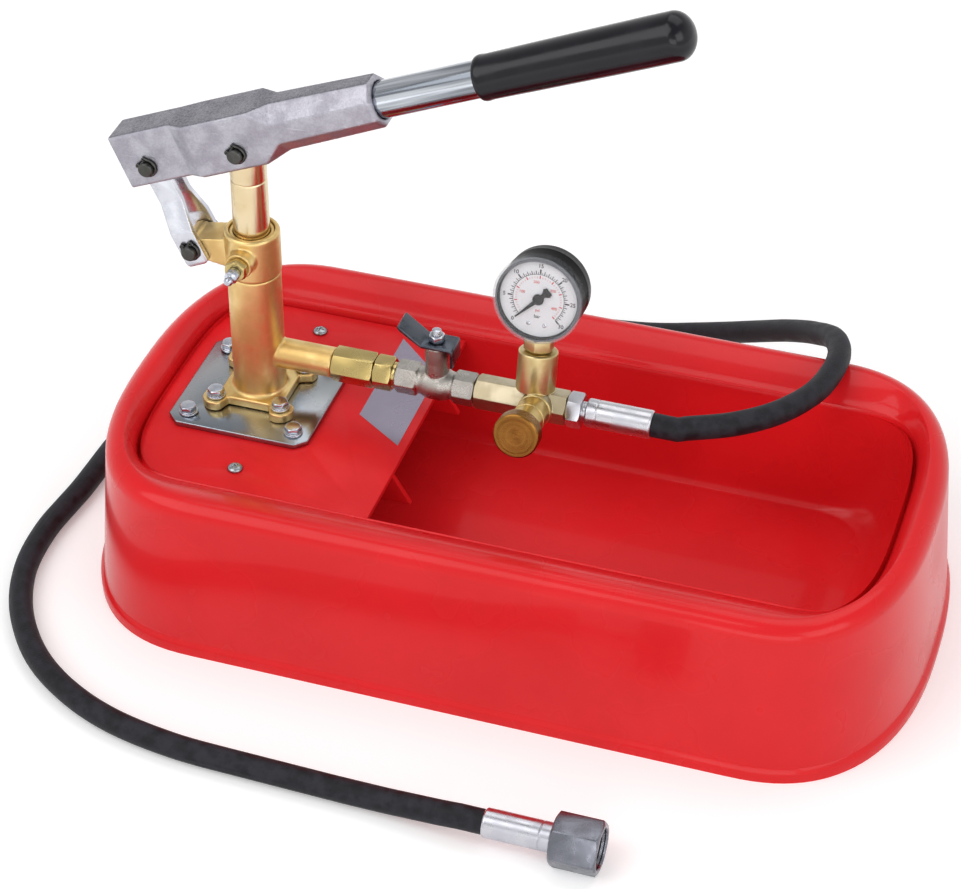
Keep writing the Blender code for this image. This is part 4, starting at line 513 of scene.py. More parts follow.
def finish(name, colour, other, metallic, rough, frame_of=None, lines=0.0, grain=0.0, grain_size=0.0008,
           edge=0.0, edge_colour=None, speckle=None, patch_size=0.02, fineness=2600.0, coat=0.0, scratch=0.0,
           bump=1.0, specular=0.5, stretch=None, top=None):
    """A finish whose colour, roughness and relief vary over the surface.

    The colour wanders to the other colour in patches, rough is its (least, most) roughness, and frame_of
    turns the pattern to the piece's own axis. Its relief is turning lines or grain. Stretch draws the
    pattern out, as in the polished tube's painted reflection streaks. Top is the direction whose faces are
    painted darker, a painted shade, with the most of the speckle. Edge paints the edges in edge_colour,
    part wear and part painted highlight.
    """
    material = bpy.data.materials.new(name)
    material.use_nodes = True
    tree = material.node_tree
    shader = tree.nodes["Principled BSDF"].inputs
    for label, value in (("Metallic", metallic), ("Specular IOR Level", specular), ("Coat Weight", coat),
                         ("Coat Roughness", COAT_ROUGHNESS)):
        shader[label].default_value = value
    places = tree.nodes.new("ShaderNodeTexCoord").outputs
    inverse = (frame_of or Matrix.Identity(4)).inverted()
    turn = {"Vector": places["Object"], "Location": inverse.to_translation(), "Rotation": inverse.to_euler()}
    vector = add_node(tree, "ShaderNodeMapping", turn).outputs[0]
    if stretch:
        vector = add_node(tree, "ShaderNodeMapping", {"Vector": vector, "Scale": stretch}).outputs[0]

    def placed(group, **values):
        return add_node(tree, "ShaderNodeGroup", {"Vector": vector, **values}, node_tree=group).outputs

    def mixed(first, second, share):
        ends = [value if isinstance(value, bpy.types.NodeSocket) else (*value, 1)
                for value in (first, second)]
        inputs = {"Factor": share, MIX_FIRST: ends[0], MIX_SECOND: ends[1]}
        return add_node(tree, "ShaderNodeMix", inputs, data_type="RGBA").outputs[MIX_COLOUR]

    # Colour wanders in patches: smudges on most finishes, painted reflection streaks on the polished tube.
    tone_patches = placed(TONE_PATCHES, Size=patch_size)
    shade = mixed(colour, other, tone_patches["Patch"])
    height = normal = None
    if lines:
        turned = placed(LATHE, Fineness=fineness)
        dulled = math_node(tree, "MULTIPLY", turned["Shade"], 0.55)
        shade = mixed(shade, [c * 0.80 for c in other], dulled)
        height = math_node(tree, "MULTIPLY", turned["Height"], lines)
    elif grain:
        skin = placed(GRAIN, Size=grain_size)
        height = math_node(tree, "MULTIPLY", skin["Height"], grain)
        if speckle:
            # Painted shade: faces turned to top are darkened; the speckle on them is the casting's own skin.
            upward = spread(tree, dot_product(tree, places["Normal"], top), 0.80, 0.93)
            amount = spread(tree, upward, 0.0, 1.0, 0.18, 0.9)
            shade = mixed(shade, [c * 0.72 for c in other], upward)
            shade = mixed(shade, speckle, math_node(tree, "MULTIPLY", skin["Speckle"], amount))
    if scratch:
        bare = [min(1.0, c * 1.35 + 0.02) for c in colour]
        shade = mixed(shade, bare, math_node(tree, "MULTIPLY", tone_patches["Scratch"], scratch))
    # Edges painted in edge_colour: part wear, part painted highlight standing in for the glints on sharp
    # edges.
    if edge:
        worn_and_lit_edge = placed(EDGES, Width=edge)
        normal = worn_and_lit_edge["Normal"]
        shade = mixed(shade, edge_colour, worn_and_lit_edge["Mask"])
    if height is not None:
        relief = {"Strength": bump, "Distance": RELIEF, "Height": height, "Normal": normal}
        normal = add_node(tree, "ShaderNodeBump", relief).outputs[0]
    feed(tree, shader["Base Color"], shade)
    feed(tree, shader["Roughness"], spread(tree, tone_patches["Patch"], 0.0, 1.0, *rough))
    feed(tree, shader["Normal"], normal)
    return material


PUMP_AXIS = shift((COLUMN_X, 0, 0))
PIPE_AXIS = along(RIGHT, (0, 0, PIPE_Z))
FAR_AXIS = along(RIGHT, (0, FAR_END_Y, NUT_AF / 2))
POST_AXIS = LEAN_FRAME @ shift((POST_OFFSET, 0, 0))
DRAIN_AXIS = LEAN_FRAME @ shift((DRAIN_OFFSET, 0, 0)) @ along(FRONT)
DIAL_AXIS = DIAL_FRAME @ along(FRONT)
HANDLE_AXIS = LEVER_FRAME @ shift((0, 0, TUBE_RISE)) @ along(RIGHT)

RED = finish("red_gloss_tank", (0.76, 0.014, 0.019), (0.71, 0.012, 0.016), 0.0, (0.24, 0.32), grain=0.08,
             grain_size=0.0011, patch_size=0.06, coat=0.22, bump=0.5, specular=0.15)
DECK_RED = finish("red_deck_paint", (0.76, 0.014, 0.019), (0.70, 0.012, 0.016), 0.0, (0.30, 0.40), grain=0.20,
                  grain_size=0.0009, patch_size=0.04, edge=0.0006, edge_colour=(0.80, 0.04, 0.04), specular=0.18)
ZINC = finish("bluish_zinc", (0.31, 0.34, 0.38), (0.37, 0.385, 0.40), 1.0, (0.18, 0.28), grain=0.15,
              grain_size=0.0006, patch_size=0.030, edge=0.0006, edge_colour=(0.70, 0.74, 0.80), scratch=0.3)
COLUMN_BRASS = finish("satin_column_brass", (0.79, 0.59, 0.26), (0.63, 0.42, 0.155), 0.92, (0.30, 0.42),
                      PUMP_AXIS, grain=0.45, grain_size=0.0006, patch_size=0.02, edge=0.0007,
                      edge_colour=(0.92, 0.76, 0.42))
PIPE_BRASS = finish("plain_pipe_brass", (0.54, 0.42, 0.18), (0.45, 0.34, 0.13), 1.0, (0.18, 0.28), PIPE_AXIS,
                    grain=0.12, patch_size=0.012, edge=0.0005, edge_colour=(0.84, 0.70, 0.38))
POST_BRASS = finish("plain_post_brass", (0.60, 0.48, 0.25), (0.50, 0.38, 0.17), 1.0, (0.32, 0.42), POST_AXIS,
                    grain=0.15, patch_size=0.012, edge=0.0005, edge_colour=(0.84, 0.72, 0.44))
# Painted highlight: the hexagon bar's brass is the post's, made paler and greyer for the pale sheen of its lit
# facets.
BAR_BRASS_PAINTED_SHEEN = finish("bar_brass_painted_sheen", (0.47, 0.405, 0.285), (0.41, 0.345, 0.225), 1.0, (0.34, 0.46), POST_AXIS,
                   grain=0.15, patch_size=0.012, edge=0.0005, edge_colour=(0.84, 0.72, 0.44))
DRAIN_BRASS = finish("turned_drain_brass", (0.58, 0.43, 0.18), (0.48, 0.33, 0.12), 1.0, (0.28, 0.38),
                     DRAIN_AXIS, grain=0.1, patch_size=0.02, edge=0.0005, edge_colour=(0.86, 0.70, 0.36))
# Painted shade: the knob's brass is darkened to stand in for the dark reflection on its dished face.
KNOB_SHADED_BRASS = finish("turned_knob_brass_painted_shade", (0.28, 0.130, 0.030), (0.22, 0.100, 0.020), 1.0, (0.24, 0.34),
                     DRAIN_AXIS, lines=0.7, fineness=3200.0, patch_size=0.03, edge=0.0006,
                     edge_colour=(0.86, 0.64, 0.30))
ROD_BRASS = finish("ground_plunger_brass", (0.76, 0.63, 0.41), (0.66, 0.50, 0.27), 1.0, (0.22, 0.32),
                   PUMP_AXIS, grain=0.04, patch_size=0.03)
SLEEVE_STEEL = finish("bright_ferrule_zinc", (0.58, 0.58, 0.61), (0.50, 0.50, 0.54), 1.0, (0.24, 0.34),
                      PIPE_AXIS, patch_size=0.015, edge=0.0004, edge_colour=(0.86, 0.86, 0.88))
FAR_STEEL = finish("bright_far_zinc", (0.57, 0.57, 0.61), (0.48, 0.48, 0.53), 1.0, (0.22, 0.32), FAR_AXIS,
                   patch_size=0.015, edge=0.0005, edge_colour=(0.86, 0.86, 0.88))
NUT_STEEL = finish("dark_nut_zinc", (0.21, 0.215, 0.25), (0.15, 0.155, 0.18), 1.0, (0.20, 0.32), FAR_AXIS,
                   grain=0.2, patch_size=0.010, edge=0.0009, edge_colour=(0.78, 0.78, 0.82), scratch=0.4)
BOLT_STEEL = finish("bright_bolt_zinc", (0.60, 0.62, 0.67), (0.44, 0.46, 0.52), 1.0, (0.14, 0.26), grain=0.15,
                    patch_size=0.006, edge=0.0004, edge_colour=(0.90, 0.90, 0.93))
STRAP_STEEL = finish("bright_strap_zinc", (0.66, 0.67, 0.72), (0.54, 0.55, 0.61), 1.0, (0.20, 0.30),
                     grain=0.2, grain_size=0.0007, patch_size=0.012, edge=0.0006,
                     edge_colour=(0.90, 0.91, 0.94), scratch=0.5)
# Painted reflection: drawn out along the tube, the patches become dark and bright streaks standing in for what
# polished steel reflects.
TUBE_STEEL = finish("polished_handle_zinc", (0.62, 0.65, 0.70), (0.16, 0.175, 0.20), 1.0, (0.06, 0.16),
                    HANDLE_AXIS, patch_size=0.0042, stretch=(1.0, 1.0, 0.03))
PIN_STEEL = finish("black_pin_steel", (0.065, 0.065, 0.060), (0.09, 0.09, 0.085), 1.0, (0.32, 0.48),
                   grain=0.3, grain_size=0.0005, patch_size=0.004, edge=0.0004, edge_colour=(0.42, 0.42, 0.42))
NICKEL = finish("sandy_nickel", (0.40, 0.375, 0.345), (0.33, 0.31, 0.285), 1.0, (0.24, 0.38), grain=1.1,
                grain_size=0.0006, patch_size=0.008, edge=0.0005, edge_colour=(0.76, 0.73, 0.68))
BLUED = finish("blue_black_handle", (0.055, 0.065, 0.085), (0.10, 0.11, 0.13), 0.9, (0.20, 0.34), grain=0.3,
               grain_size=0.0007, patch_size=0.008, edge=0.0006, edge_colour=(0.28, 0.30, 0.34))
# Its top faces are painted darker, a painted shade.
CAST = finish("speckled_cast_aluminium", (0.46, 0.45, 0.50), (0.37, 0.36, 0.41), 1.0, (0.32, 0.46), grain=1.1,
              grain_size=0.0007, speckle=(0.13, 0.125, 0.15), patch_size=0.012, edge=0.0012,
              edge_colour=(0.88, 0.88, 0.92), scratch=0.4, top=(-0.39, 0.0, 0.92))
CASE_BLACK = finish("gauge_case_black", (0.004, 0.004, 0.005), (0.007, 0.007, 0.008), 0.0, (0.26, 0.36),
                    grain=0.08, patch_size=0.02, specular=0.08)
POINTER_BLACK = finish("matt_pointer_black", (0.004, 0.004, 0.004), (0.006, 0.006, 0.006), 0.0, (0.50, 0.60),
                       patch_size=0.004, specular=0.12)
GRIP_BLACK = finish("glossy_grip_vinyl", (0.004, 0.004, 0.007), (0.007, 0.007, 0.011), 0.0, (0.18, 0.26),
                    grain=0.10, grain_size=0.0016, patch_size=0.03, bump=0.4, specular=0.32)
HOSE_BLACK = finish("matt_hose_rubber", (0.008, 0.008, 0.011), (0.024, 0.024, 0.031), 0.0, (0.50, 0.65),
                    grain=0.8, grain_size=0.0010, patch_size=0.007, scratch=0.4, specular=0.22)
DIAL_WHITE = finish("printed_dial_white", (0.79, 0.80, 0.83), (0.76, 0.77, 0.80), 0.0, (0.40, 0.50),
                    patch_size=0.01)
PRINT_BLACK = finish("dial_ink_black", (0.010, 0.010, 0.012), (0.02, 0.02, 0.02), 0.0, (0.5, 0.6),
                     patch_size=0.004)
PRINT_RED = finish("dial_ink_red", (0.62, 0.02, 0.02), (0.55, 0.02, 0.02), 0.0, (0.5, 0.6), patch_size=0.004)
SEAL_WHITE = finish("white_packing", (0.80, 0.79, 0.74), (0.70, 0.69, 0.64), 0.0, (0.45, 0.6), grain=0.3,
                    patch_size=0.01)
LABEL_SILVER = finish("bare_silver_label", (0.38, 0.34, 0.43), (0.31, 0.28, 0.36), 0.8, (0.26, 0.34),
                      grain=0.10, patch_size=0.05)


def see_through(name, colour, alpha, rough, specular=0.5):
    """A clear plastic that shows by its gloss."""
    material = finish(name, colour, [c * 0.95 for c in colour], 0.0, rough, patch_size=0.02, specular=specular)
    material.node_tree.nodes["Principled BSDF"].inputs["Alpha"].default_value = alpha
    return material


# Painted shade: the clear ring is painted grey and its side darker grey, standing in for the dark edges of
# clear plastic.
WINDOW = see_through("clear_gauge_window", (0.92, 0.94, 0.96), 0.05, (0.03, 0.06))
WINDOW_RING = see_through("clear_gauge_ring", (0.42, 0.44, 0.48), 0.38, (0.05, 0.10))
WINDOW_SIDE = see_through("clear_gauge_side", (0.16, 0.165, 0.18), 0.10, (0.10, 0.16), 0.15)


# Repeats
RANDOM_MOST, RANDOM_VALUE = 3, 1


def socket_id(tree, label):
    """The identifier of a tree's input."""
    return next(item.identifier for item in tree.interface.items_tree
                if item.item_type == "SOCKET" and item.in_out == "INPUT" and item.name == label)


def make_repeat_tree():
    """Copies of one item on a mesh's points, turned about their own Z and then as each point's turn says."""
    tree = bpy.data.node_groups.new("repeats", "GeometryNodeTree")
    for label, kind in (("Geometry", "Geometry"), ("Item", "Object"), ("Most Turn", "Float"),
                        ("Seed", "Int"), ("Finish", "Material")):
        tree.interface.new_socket(label, in_out="INPUT", socket_type="NodeSocket" + kind)
    tree.interface.new_socket("Geometry", in_out="OUTPUT", socket_type="NodeSocketGeometry")
    given = tree.nodes.new("NodeGroupInput").outputs
    result = tree.nodes.new("NodeGroupOutput").inputs
    way, size = [add_node(tree, "GeometryNodeInputNamedAttribute", {"Name": label}, data_type="FLOAT_VECTOR")
                 for label in ("turn", "size")]
    item = add_node(tree, "GeometryNodeObjectInfo", {"Object": given["Item"]}, transform_space="ORIGINAL")
    chance = add_node(tree, "FunctionNodeRandomValue",
                      {RANDOM_MOST: given["Most Turn"], "Seed": given["Seed"]}, data_type="FLOAT")
    turn = add_node(tree, "ShaderNodeCombineXYZ", {"Z": chance.outputs[RANDOM_VALUE]})
    copies = add_node(tree, "GeometryNodeInstanceOnPoints",
                      {"Points": given["Geometry"], "Instance": item.outputs["Geometry"],
                       "Rotation": way.outputs["Attribute"], "Scale": size.outputs["Attribute"]})
    spin = add_node(tree, "GeometryNodeRotateInstances",
                    {"Instances": copies.outputs[0], "Rotation": turn.outputs[0]})
    real = add_node(tree, "GeometryNodeRealizeInstances", {0: spin.outputs[0]})
    dress = add_node(tree, "GeometryNodeSetMaterial",
                     {"Geometry": real.outputs[0], "Material": given["Finish"]})
    feed(tree, result["Geometry"], dress.outputs[0])
    return tree


REPEATS = make_repeat_tree()


def upright(x, y, z):
    """A place for a copy that is neither turned nor resized."""
    return (x, y, z), (0, 0, 0), (1, 1, 1)


def repeated(item, places, material, most_turn=0.0, seed=7):
    """The item at each (place, turn, size), as one mesh."""
    points = bpy.data.meshes.new("places")
    points.from_pydata([place for place, _, _ in places], [], [])
    for label, which in (("turn", 1), ("size", 2)):
        layer = points.attributes.new(label, "FLOAT_VECTOR", "POINT")
        for spot, place in zip(layer.data, places):
            spot.vector = place[which]
    source = new_object("item", item)
    holder = new_object("holder", points)
    modifier = holder.modifiers.new("Repeats", "NODES")
    modifier.node_group = REPEATS
    for label, value in (("Item", source), ("Most Turn", most_turn), ("Seed", seed), ("Finish", material)):
        modifier[socket_id(REPEATS, label)] = value
    result = taken_mesh(holder)
    bpy.data.objects.remove(source)
    return result


# Hose, the cord of this pump
HOSE_RADIUS = 0.00635
HOSE_OVER_RIM = (
    (0.0174, 0.0245, 0.0191), (0.0384, 0.1306, 0.0173), (0.0574, 0.3020, 0.0143), (0.0709, 0.5388, 0.0108),
    (0.0749, 0.8000, 0.0081), (0.0684, 1.0122, 0.0018),
)
HOSE_ROUND_TANK = (
    (0.5378, 1.1918, 0.7961), (0.4489, 1.3469, 0.6226), (0.3378, 1.4939, 0.4165), (0.2000, 1.6245, 0.2104),
    (0.0444, 1.6980, 0.0586), (-0.1556, 1.7061, 0.0), (-0.3778, 1.6490, 0.0), (-0.6000, 1.5102, 0.0),
    (-0.8000, 1.2898, 0.0), (-0.9556, 0.9878, 0.0), (-1.0533, 0.6367, 0.0), (-1.0933, 0.2449, 0.0),
    (-1.1067, -0.1633, 0.0), (-1.1244, -0.4898, 0.0), (-1.1067, -0.7837, 0.0), (-1.0400, -1.0612, 0.0),
    (-0.9244, -1.3061, 0.0), (-0.7556, -1.4857, 0.0), (-0.5556, -1.5714, 0.0), (-0.3111, -1.5918, 0.0),
    (-0.0889, -1.6082, 0.0087), (0.0667, -1.6286, 0.0423),
)


def curve_through(points, steps):
    """Points of a smooth curve through all but the first and last of the points, as tuples."""
    fine = []
    for before, start, end, after in zip(points, points[1:], points[2:], points[3:]):
        for step in range(steps):
            t = step / steps
            fine.append(tuple(
                (2 * b + (c - a) * t + (2 * a - 5 * b + 4 * c - d) * t**2 + (3 * (b - c) - a + d) * t**3) / 2
                for a, b, c, d in zip(before, start, end, after)
            ))
    fine.append(tuple(points[-2]))
    return fine


def evenly(points, spacing):
    """The points' line cut into even steps."""
    reach = [0.0]
    for one, other in zip(points, points[1:]):
        reach.append(reach[-1] + (other - one).length)
    count = round(reach[-1] / spacing)
    result, at = [], 0
    for step in range(count + 1):
        wanted = reach[-1] * step / count
        while at < len(points) - 2 and reach[at + 1] < wanted:
            at += 1
        result.append(points[at].lerp(points[at + 1], (wanted - reach[at]) / (reach[at + 1] - reach[at])))
    return result


def rod_along(points, radius, bevel=6):
    """A round bar along points."""
    curve = bpy.data.curves.new("line", "CURVE")
    curve.dimensions = "3D"
    curve.bevel_depth = radius
    curve.bevel_resolution = bevel
    curve.use_fill_caps = True
    spline = curve.splines.new("POLY")
    spline.points.add(len(points) - 1)
    for point, place in zip(spline.points, points):
        point.co = (*place, 1)
    return cleaned(taken_mesh(new_object("line", curve)), 45)


def hose_route():
    """The hose's middle line, from the near ferrule to the far one."""
    far_z = NUT_AF / 2
    hose_end = FAR_END_X - NUT_LENGTH - GAP - FERRULE_LENGTH - GAP
    straight = 2 * HOSE_RADIUS
    half_x, half_y, height = TANK["length"] / 2, TANK["width"] / 2, TANK["height"]
    route = [Vector((HOSE_X, 0, PIPE_Z)), Vector((HOSE_X + straight, 0, PIPE_Z))]
    route += [Vector((HOSE_X + x, y * half_y, height + z)) for x, y, z in HOSE_OVER_RIM]
    rest = HOSE_RADIUS + GAP
    route += [Vector((x * half_x, y * half_y, rest + z * height)) for x, y, z in HOSE_ROUND_TANK]
    route += [Vector((hose_end - straight, FAR_END_Y, far_z)), Vector((hose_end, FAR_END_Y, far_z))]
    fine = [Vector(point) for point in curve_through(route, 20)]
    return [route[0], *evenly(fine, 0.005), route[-1]]


def ferrule():
    """A plain pressed sleeve along +Z, with a hairline groove near the low end."""
    radius, low, groove = 0.0075, 0.0069, 0.0072
    profile = [(0, FERRULE_LENGTH), (low, FERRULE_LENGTH), (radius, 0.0337), (radius, 0.0332),
               (radius, 0.0064), (radius, 0.0061), (groove, 0.0059), (groove, 0.0055), (radius, 0.0053),
               (radius, 0.0050), (radius, 0.0011), (radius, 0.0006), (low, 0), (0, 0)]
    return lathe(eased(profile, 0.0001, 2), 96)


def ridges(radius, depth, low, high, pitch):
    """Points down the outside of a thread's crests and roots."""
    count = max(1, round((high - low) / pitch))
    step = (high - low) / count
    points = []
    for i in range(count):
        top = high - i * step
        points += [(radius - depth, top), (radius, top - step * 0.35), (radius, top - step * 0.5),
                   (radius - depth, top - step * 0.85)]
    return points + [(radius - depth, low)]


def swivel_nut():
    """The union nut on the hose's far end, threaded inside, along +Z."""
    mouth, thread, depth, throat, seat = 0.0108, 0.0102, 0.0006, 0.0077, 0.0040
    past = 2 * OVERRUN
    nut = hex_bar(NUT_AF, 0, NUT_LENGTH, 0.0014)
    bore = [(0, NUT_LENGTH + past), (mouth, NUT_LENGTH + past), (mouth, NUT_LENGTH),
            (thread, NUT_LENGTH - 0.0008)]
    bore += [(r + depth, z) for r, z in ridges(thread, depth, 0.0045, NUT_LENGTH - 0.0010, 0.0018)]
    bore += [(thread, seat), (throat, seat), (throat, -past), (0, -past)]
    return combined(nut, "DIFFERENCE", lathe(bore, 64))


def sealing_cone():
    """The cone that the nut presses on its seat, along +Z."""
    bore, tip, rim, neck, tail = 0.003, 0.0060, 0.0094, 0.0074, 0.0042
    profile = [(bore, 0.0130), (tip, 0.0130), (rim, 0.00865), (rim, 0.0043), (neck, 0.0043), (neck, 0),
               (tail, 0), (tail, -0.004), (bore, -0.004)]
    return lathe(eased(profile, 0.0003, 2, True), 64, True)


line = hose_route()
nut_x = FAR_END_X - NUT_LENGTH
far = along(RIGHT, (nut_x, FAR_END_Y, NUT_AF / 2))
far_back = along(-RIGHT, (nut_x - GAP, FAR_END_Y, NUT_AF / 2))
hose = piece("hose_line", rod_along(line, HOSE_RADIUS), HOSE_BLACK, "base", "hose", slot="hose_rubber")
far_sleeve = piece("far_sleeve", moved(ferrule(), far_back), FAR_STEEL, "base", "far_ferrule",
                   slot="bright_steel")
cone_tip = piece("sealing_cone", moved(sealing_cone(), far), FAR_STEEL, "base", "hose_cone",
                 slot="bright_steel")
end_nut = piece("union_nut", moved(swivel_nut(), far), NUT_STEEL, "hose_nut", "swivel_nut",
                slot="bright_steel")
piece("near_sleeve", moved(ferrule(), along(RIGHT, (FERRULE_X, 0, PIPE_Z))), SLEEVE_STEEL, "base",
      "near_ferrule", slot="bright_steel")


# Tank and deck
def level_ring(half_x, half_y, end_depth, bulge, height, steps=28):
    """Points round a level outline with straight sides and bulging ends."""
    quarter = []
    for step in range(steps + 1):
        angle = math.pi / 2 * step / steps
        reach = half_x - end_depth + end_depth * max(math.cos(angle), 0) ** (2 / bulge)
        quarter.append((reach, half_y * math.sin(angle) ** (2 / bulge)))
    right = quarter + [(-x, y) for x, y in quarter[::-1]]
    left = [(-x, -y) for x, y in quarter[1:]] + [(x, -y) for x, y in quarter[:0:-1]]
    return [(x, y, height) for x, y in right + left]


SHOULDER_SHARES = ((0.05, 0.20, 0.18), (0.22, 0.48, 0.44), (0.50, 0.76, 0.72), (0.78, 0.93, 0.90), (1, 1, 1))
WALL_SHARES = ((0.50, 0.14, 0.42), (0.76, 0.33, 0.60), (0.92, 0.60, 0.74), (0.985, 0.84, 0.90), (1, 1, 1))
FLOOR_SHARES = (0.97, 0.90, 0.6, 0.3, 0.05)


def tank_shell():
    """The tank's skin from its foot, over the rim and down to the floor, with its wall's thickness."""
    top, edge, rim_steps = TANK["height"], 0.0004, 16
    crest_depth = TANK["end_depth"] - LIP_PROUD - TANK_LEAN - RIM_RADIUS
    foot = (TANK["length"] / 2, TANK["width"] / 2, TANK["end_depth"])
    crest = (CREST_X, CREST_Y, crest_depth)

    def grown(sizes, growth, height):
        return (*[size + growth for size in sizes], OUTER_BULGE, height)

    rows = [grown(foot, 0, 0.0), grown(foot, 0, LIP_HEIGHT - 0.0010), grown(foot, -edge, LIP_HEIGHT),
            grown(foot, -LIP_PROUD, LIP_HEIGHT + LIP_PROUD)]
    for step in range(rim_steps + 1):
        angle = math.pi / 2 * step / rim_steps
        height = top - RIM_RADIUS + RIM_RADIUS * math.sin(angle)
        rows.append(grown(crest, RIM_RADIUS * math.cos(angle), height))
    keys = [grown(crest, 0.002, top - 0.0002), grown(crest, 0, top)]
    for drop, end, side in SHOULDER_SHARES:
        keys.append((CREST_X - SHOULDER["end"] * end, CREST_Y - SHOULDER["side"] * side,
                     crest_depth + (BASIN_END_DEPTH - crest_depth) * side,
                     OUTER_BULGE + (BASIN_BULGE - OUTER_BULGE) * side, top - SHOULDER["drop"] * drop))
    shoulder_z = top - SHOULDER["drop"]
    for drop, end, side in WALL_SHARES:
        keys.append((CREST_X - SHOULDER["end"] - WALL_LEAN["end"] * end,
                     CREST_Y - SHOULDER["side"] - WALL_LEAN["side"] * side, BASIN_END_DEPTH, BASIN_BULGE,
                     shoulder_z - (shoulder_z - FLOOR_HEIGHT) * drop))
    last = keys[-1]
    keys.append((last[0] - 0.006, last[1] - 0.003, *last[2:]))
    rows += curve_through(keys, 5)[1:]
    rows += [(*[size * share for size in last[:3]], *last[3:]) for share in FLOOR_SHARES]
    skin = loft([level_ring(*row) for row in rows], capped=(False, True))
    shell = evaluated(skin, ("SOLIDIFY", {"thickness": TANK["wall"], "offset": -1, "use_even_offset": True}))
    return smooth(shell, 50)


SCREW_X = COLUMN_X + 0.010
SCREW_Y = CREST_Y - SHOULDER["side"] - DECK_GAP - 0.017
DECK_BOTTOM = DECK_TOP - DECK_THICK


def deck_post():
    """The round post under a deck screw, its foot spread into the floor."""
    radius, foot = 0.006, 0.009
    profile = [(0, DECK_BOTTOM - GAP), (radius, DECK_BOTTOM - GAP), (radius, FLOOR_HEIGHT + 0.002),
               (foot, FLOOR_HEIGHT - OVERRUN), (0, FLOOR_HEIGHT - OVERRUN)]
    return lathe(eased(profile, 0.0008))


posts = [moved(deck_post(), shift((SCREW_X, side * SCREW_Y, 0))) for side in SIDES]
piece("red_tank_shell", merged(tank_shell(), *posts), RED, "base", "tank", slot="red_tank")


def deck():
    """The plate over the basin's end, its pad and its two gussets."""
    pad, pad_depth = 0.036, 0.005
    web, gusset_y, gusset_top, gusset_low = 0.0015, 0.040, DECK_TOP - 0.0015, DECK_TOP - 0.0185
    side = CREST_Y - SHOULDER["side"] - DECK_GAP
    basin = level_ring(CREST_X - SHOULDER["end"] - DECK_GAP, side, BASIN_END_DEPTH, BASIN_BULGE, 0, 24)
    outline = [(x, y) for x, y, _ in basin if x < DECK_EDGE_X - 0.002]
    outline = [(DECK_EDGE_X, side)] + outline + [(DECK_EDGE_X, -side)]
    edge = DECK_EDGE_X - GAP
    gusset = [(edge - 0.030, gusset_low), (edge + 0.010, gusset_low), (edge, gusset_top),
              (edge - 0.030, gusset_top)]
    tools = [box_mesh((COLUMN_X - pad, -pad, DECK_BOTTOM - pad_depth),
                      (COLUMN_X + pad, pad, DECK_TOP - 0.001))]
    tools += [moved(prism(gusset, -web, web), along(FRONT, (0, y * gusset_y, 0))) for y in SIDES]
    body = combined(prism(outline, DECK_BOTTOM, DECK_TOP), "UNION", *tools)
    holes = [(COLUMN_X, 0, SUCTION_HOLE)]
    holes += [(COLUMN_X + x * PLATE_BOLTS, y * PLATE_BOLTS, BOLT_HOLE) for x, y in CORNERS]
    holes += [(SCREW_X, y * SCREW_Y, 0.0023) for y in SIDES]
    for x, y, radius in holes:
        drill = round_bar(radius, DECK_BOTTOM - 0.01, DECK_TOP + 0.01, 32)
        body = combined(body, "DIFFERENCE", moved(drill, shift((x, y, 0))))
    return bevelled(body, 0.0007, 3)


def bare_label():
    """The blank label on the deck, cut off slantwise where the sheet is."""
    left, right, thick = -0.092, -0.064, 0.00015
    outline = [(left, 0.071), (left, 0.0), (right, -0.019), (right, 0.045)]
    return prism(outline, DECK_TOP, DECK_TOP + thick)


def plate():
    """The base plate, square with its corners cut, over the suction hole."""
    half, straight = 0.039, 0.033
    outline = [(half, -straight), (half, straight), (straight, half), (-straight, half)]
    outline += [(-x, -y) for x, y in outline]
    slab = moved(prism(outline, DECK_TOP + GAP, PLATE_TOP), PUMP_AXIS)
    hole = moved(round_bar(SUCTION_HOLE, 0.06, 0.1, 32), PUMP_AXIS)
    return bevelled(combined(slab, "DIFFERENCE", hole), 0.0004)


piece("deck_cover", deck(), DECK_RED, "base", "deck_plate", slot="red_deck")
piece("bare_label", bare_label(), LABEL_SILVER, "base", slot="red_deck")
piece("zinc_base_plate", plate(), ZINC, "base", "base_plate", slot="zinc_plate")


def bolt_item():
    """A hexagon bolt head on a washer, its seat at the origin, with the shank below."""
    flats, top, shank_end = 0.0080, 0.0045, -0.0080
    washer_top, washer_rim, hole = 0.0011, 0.0051, 0.0026
    head = hex_bar(flats, washer_top - 0.0001, top, 0.0006)
    washer = [(0, washer_top), (washer_rim - 0.0002, washer_top), (washer_rim, washer_top - 0.0002),
              (washer_rim, 0), (hole, 0)]
    shank = [(hole, 0), (hole - 0.0001, -0.0002), (hole - 0.0001, shank_end), (0, shank_end)]
    return merged(head, lathe(eased(washer, 0.0002), 40), lathe(shank, 24))


def deck_screw():
    """A round-headed screw with a cross recess, its seat at the origin."""
    radius, rise, shank, foot = 0.004, 0.0022, 0.002, -0.012
    arm, half_slot, slot_floor = 0.0022, 0.0004, 0.0010
    head = [(0, rise)] + [(radius * math.sin(math.radians(a)), rise * math.cos(math.radians(a)) ** 0.8)
                          for a in range(10, 90, 10)]
    head += [(radius, 0.0002), (radius, 0), (shank, 0), (shank, foot), (0, foot)]
    recess = [box_mesh((-arm, -half_slot, slot_floor), (arm, half_slot, 0.003)),
              box_mesh((-half_slot, -arm, slot_floor), (half_slot, arm, 0.003))]
    return cleaned(combined(lathe(head, 48), "DIFFERENCE", *recess))


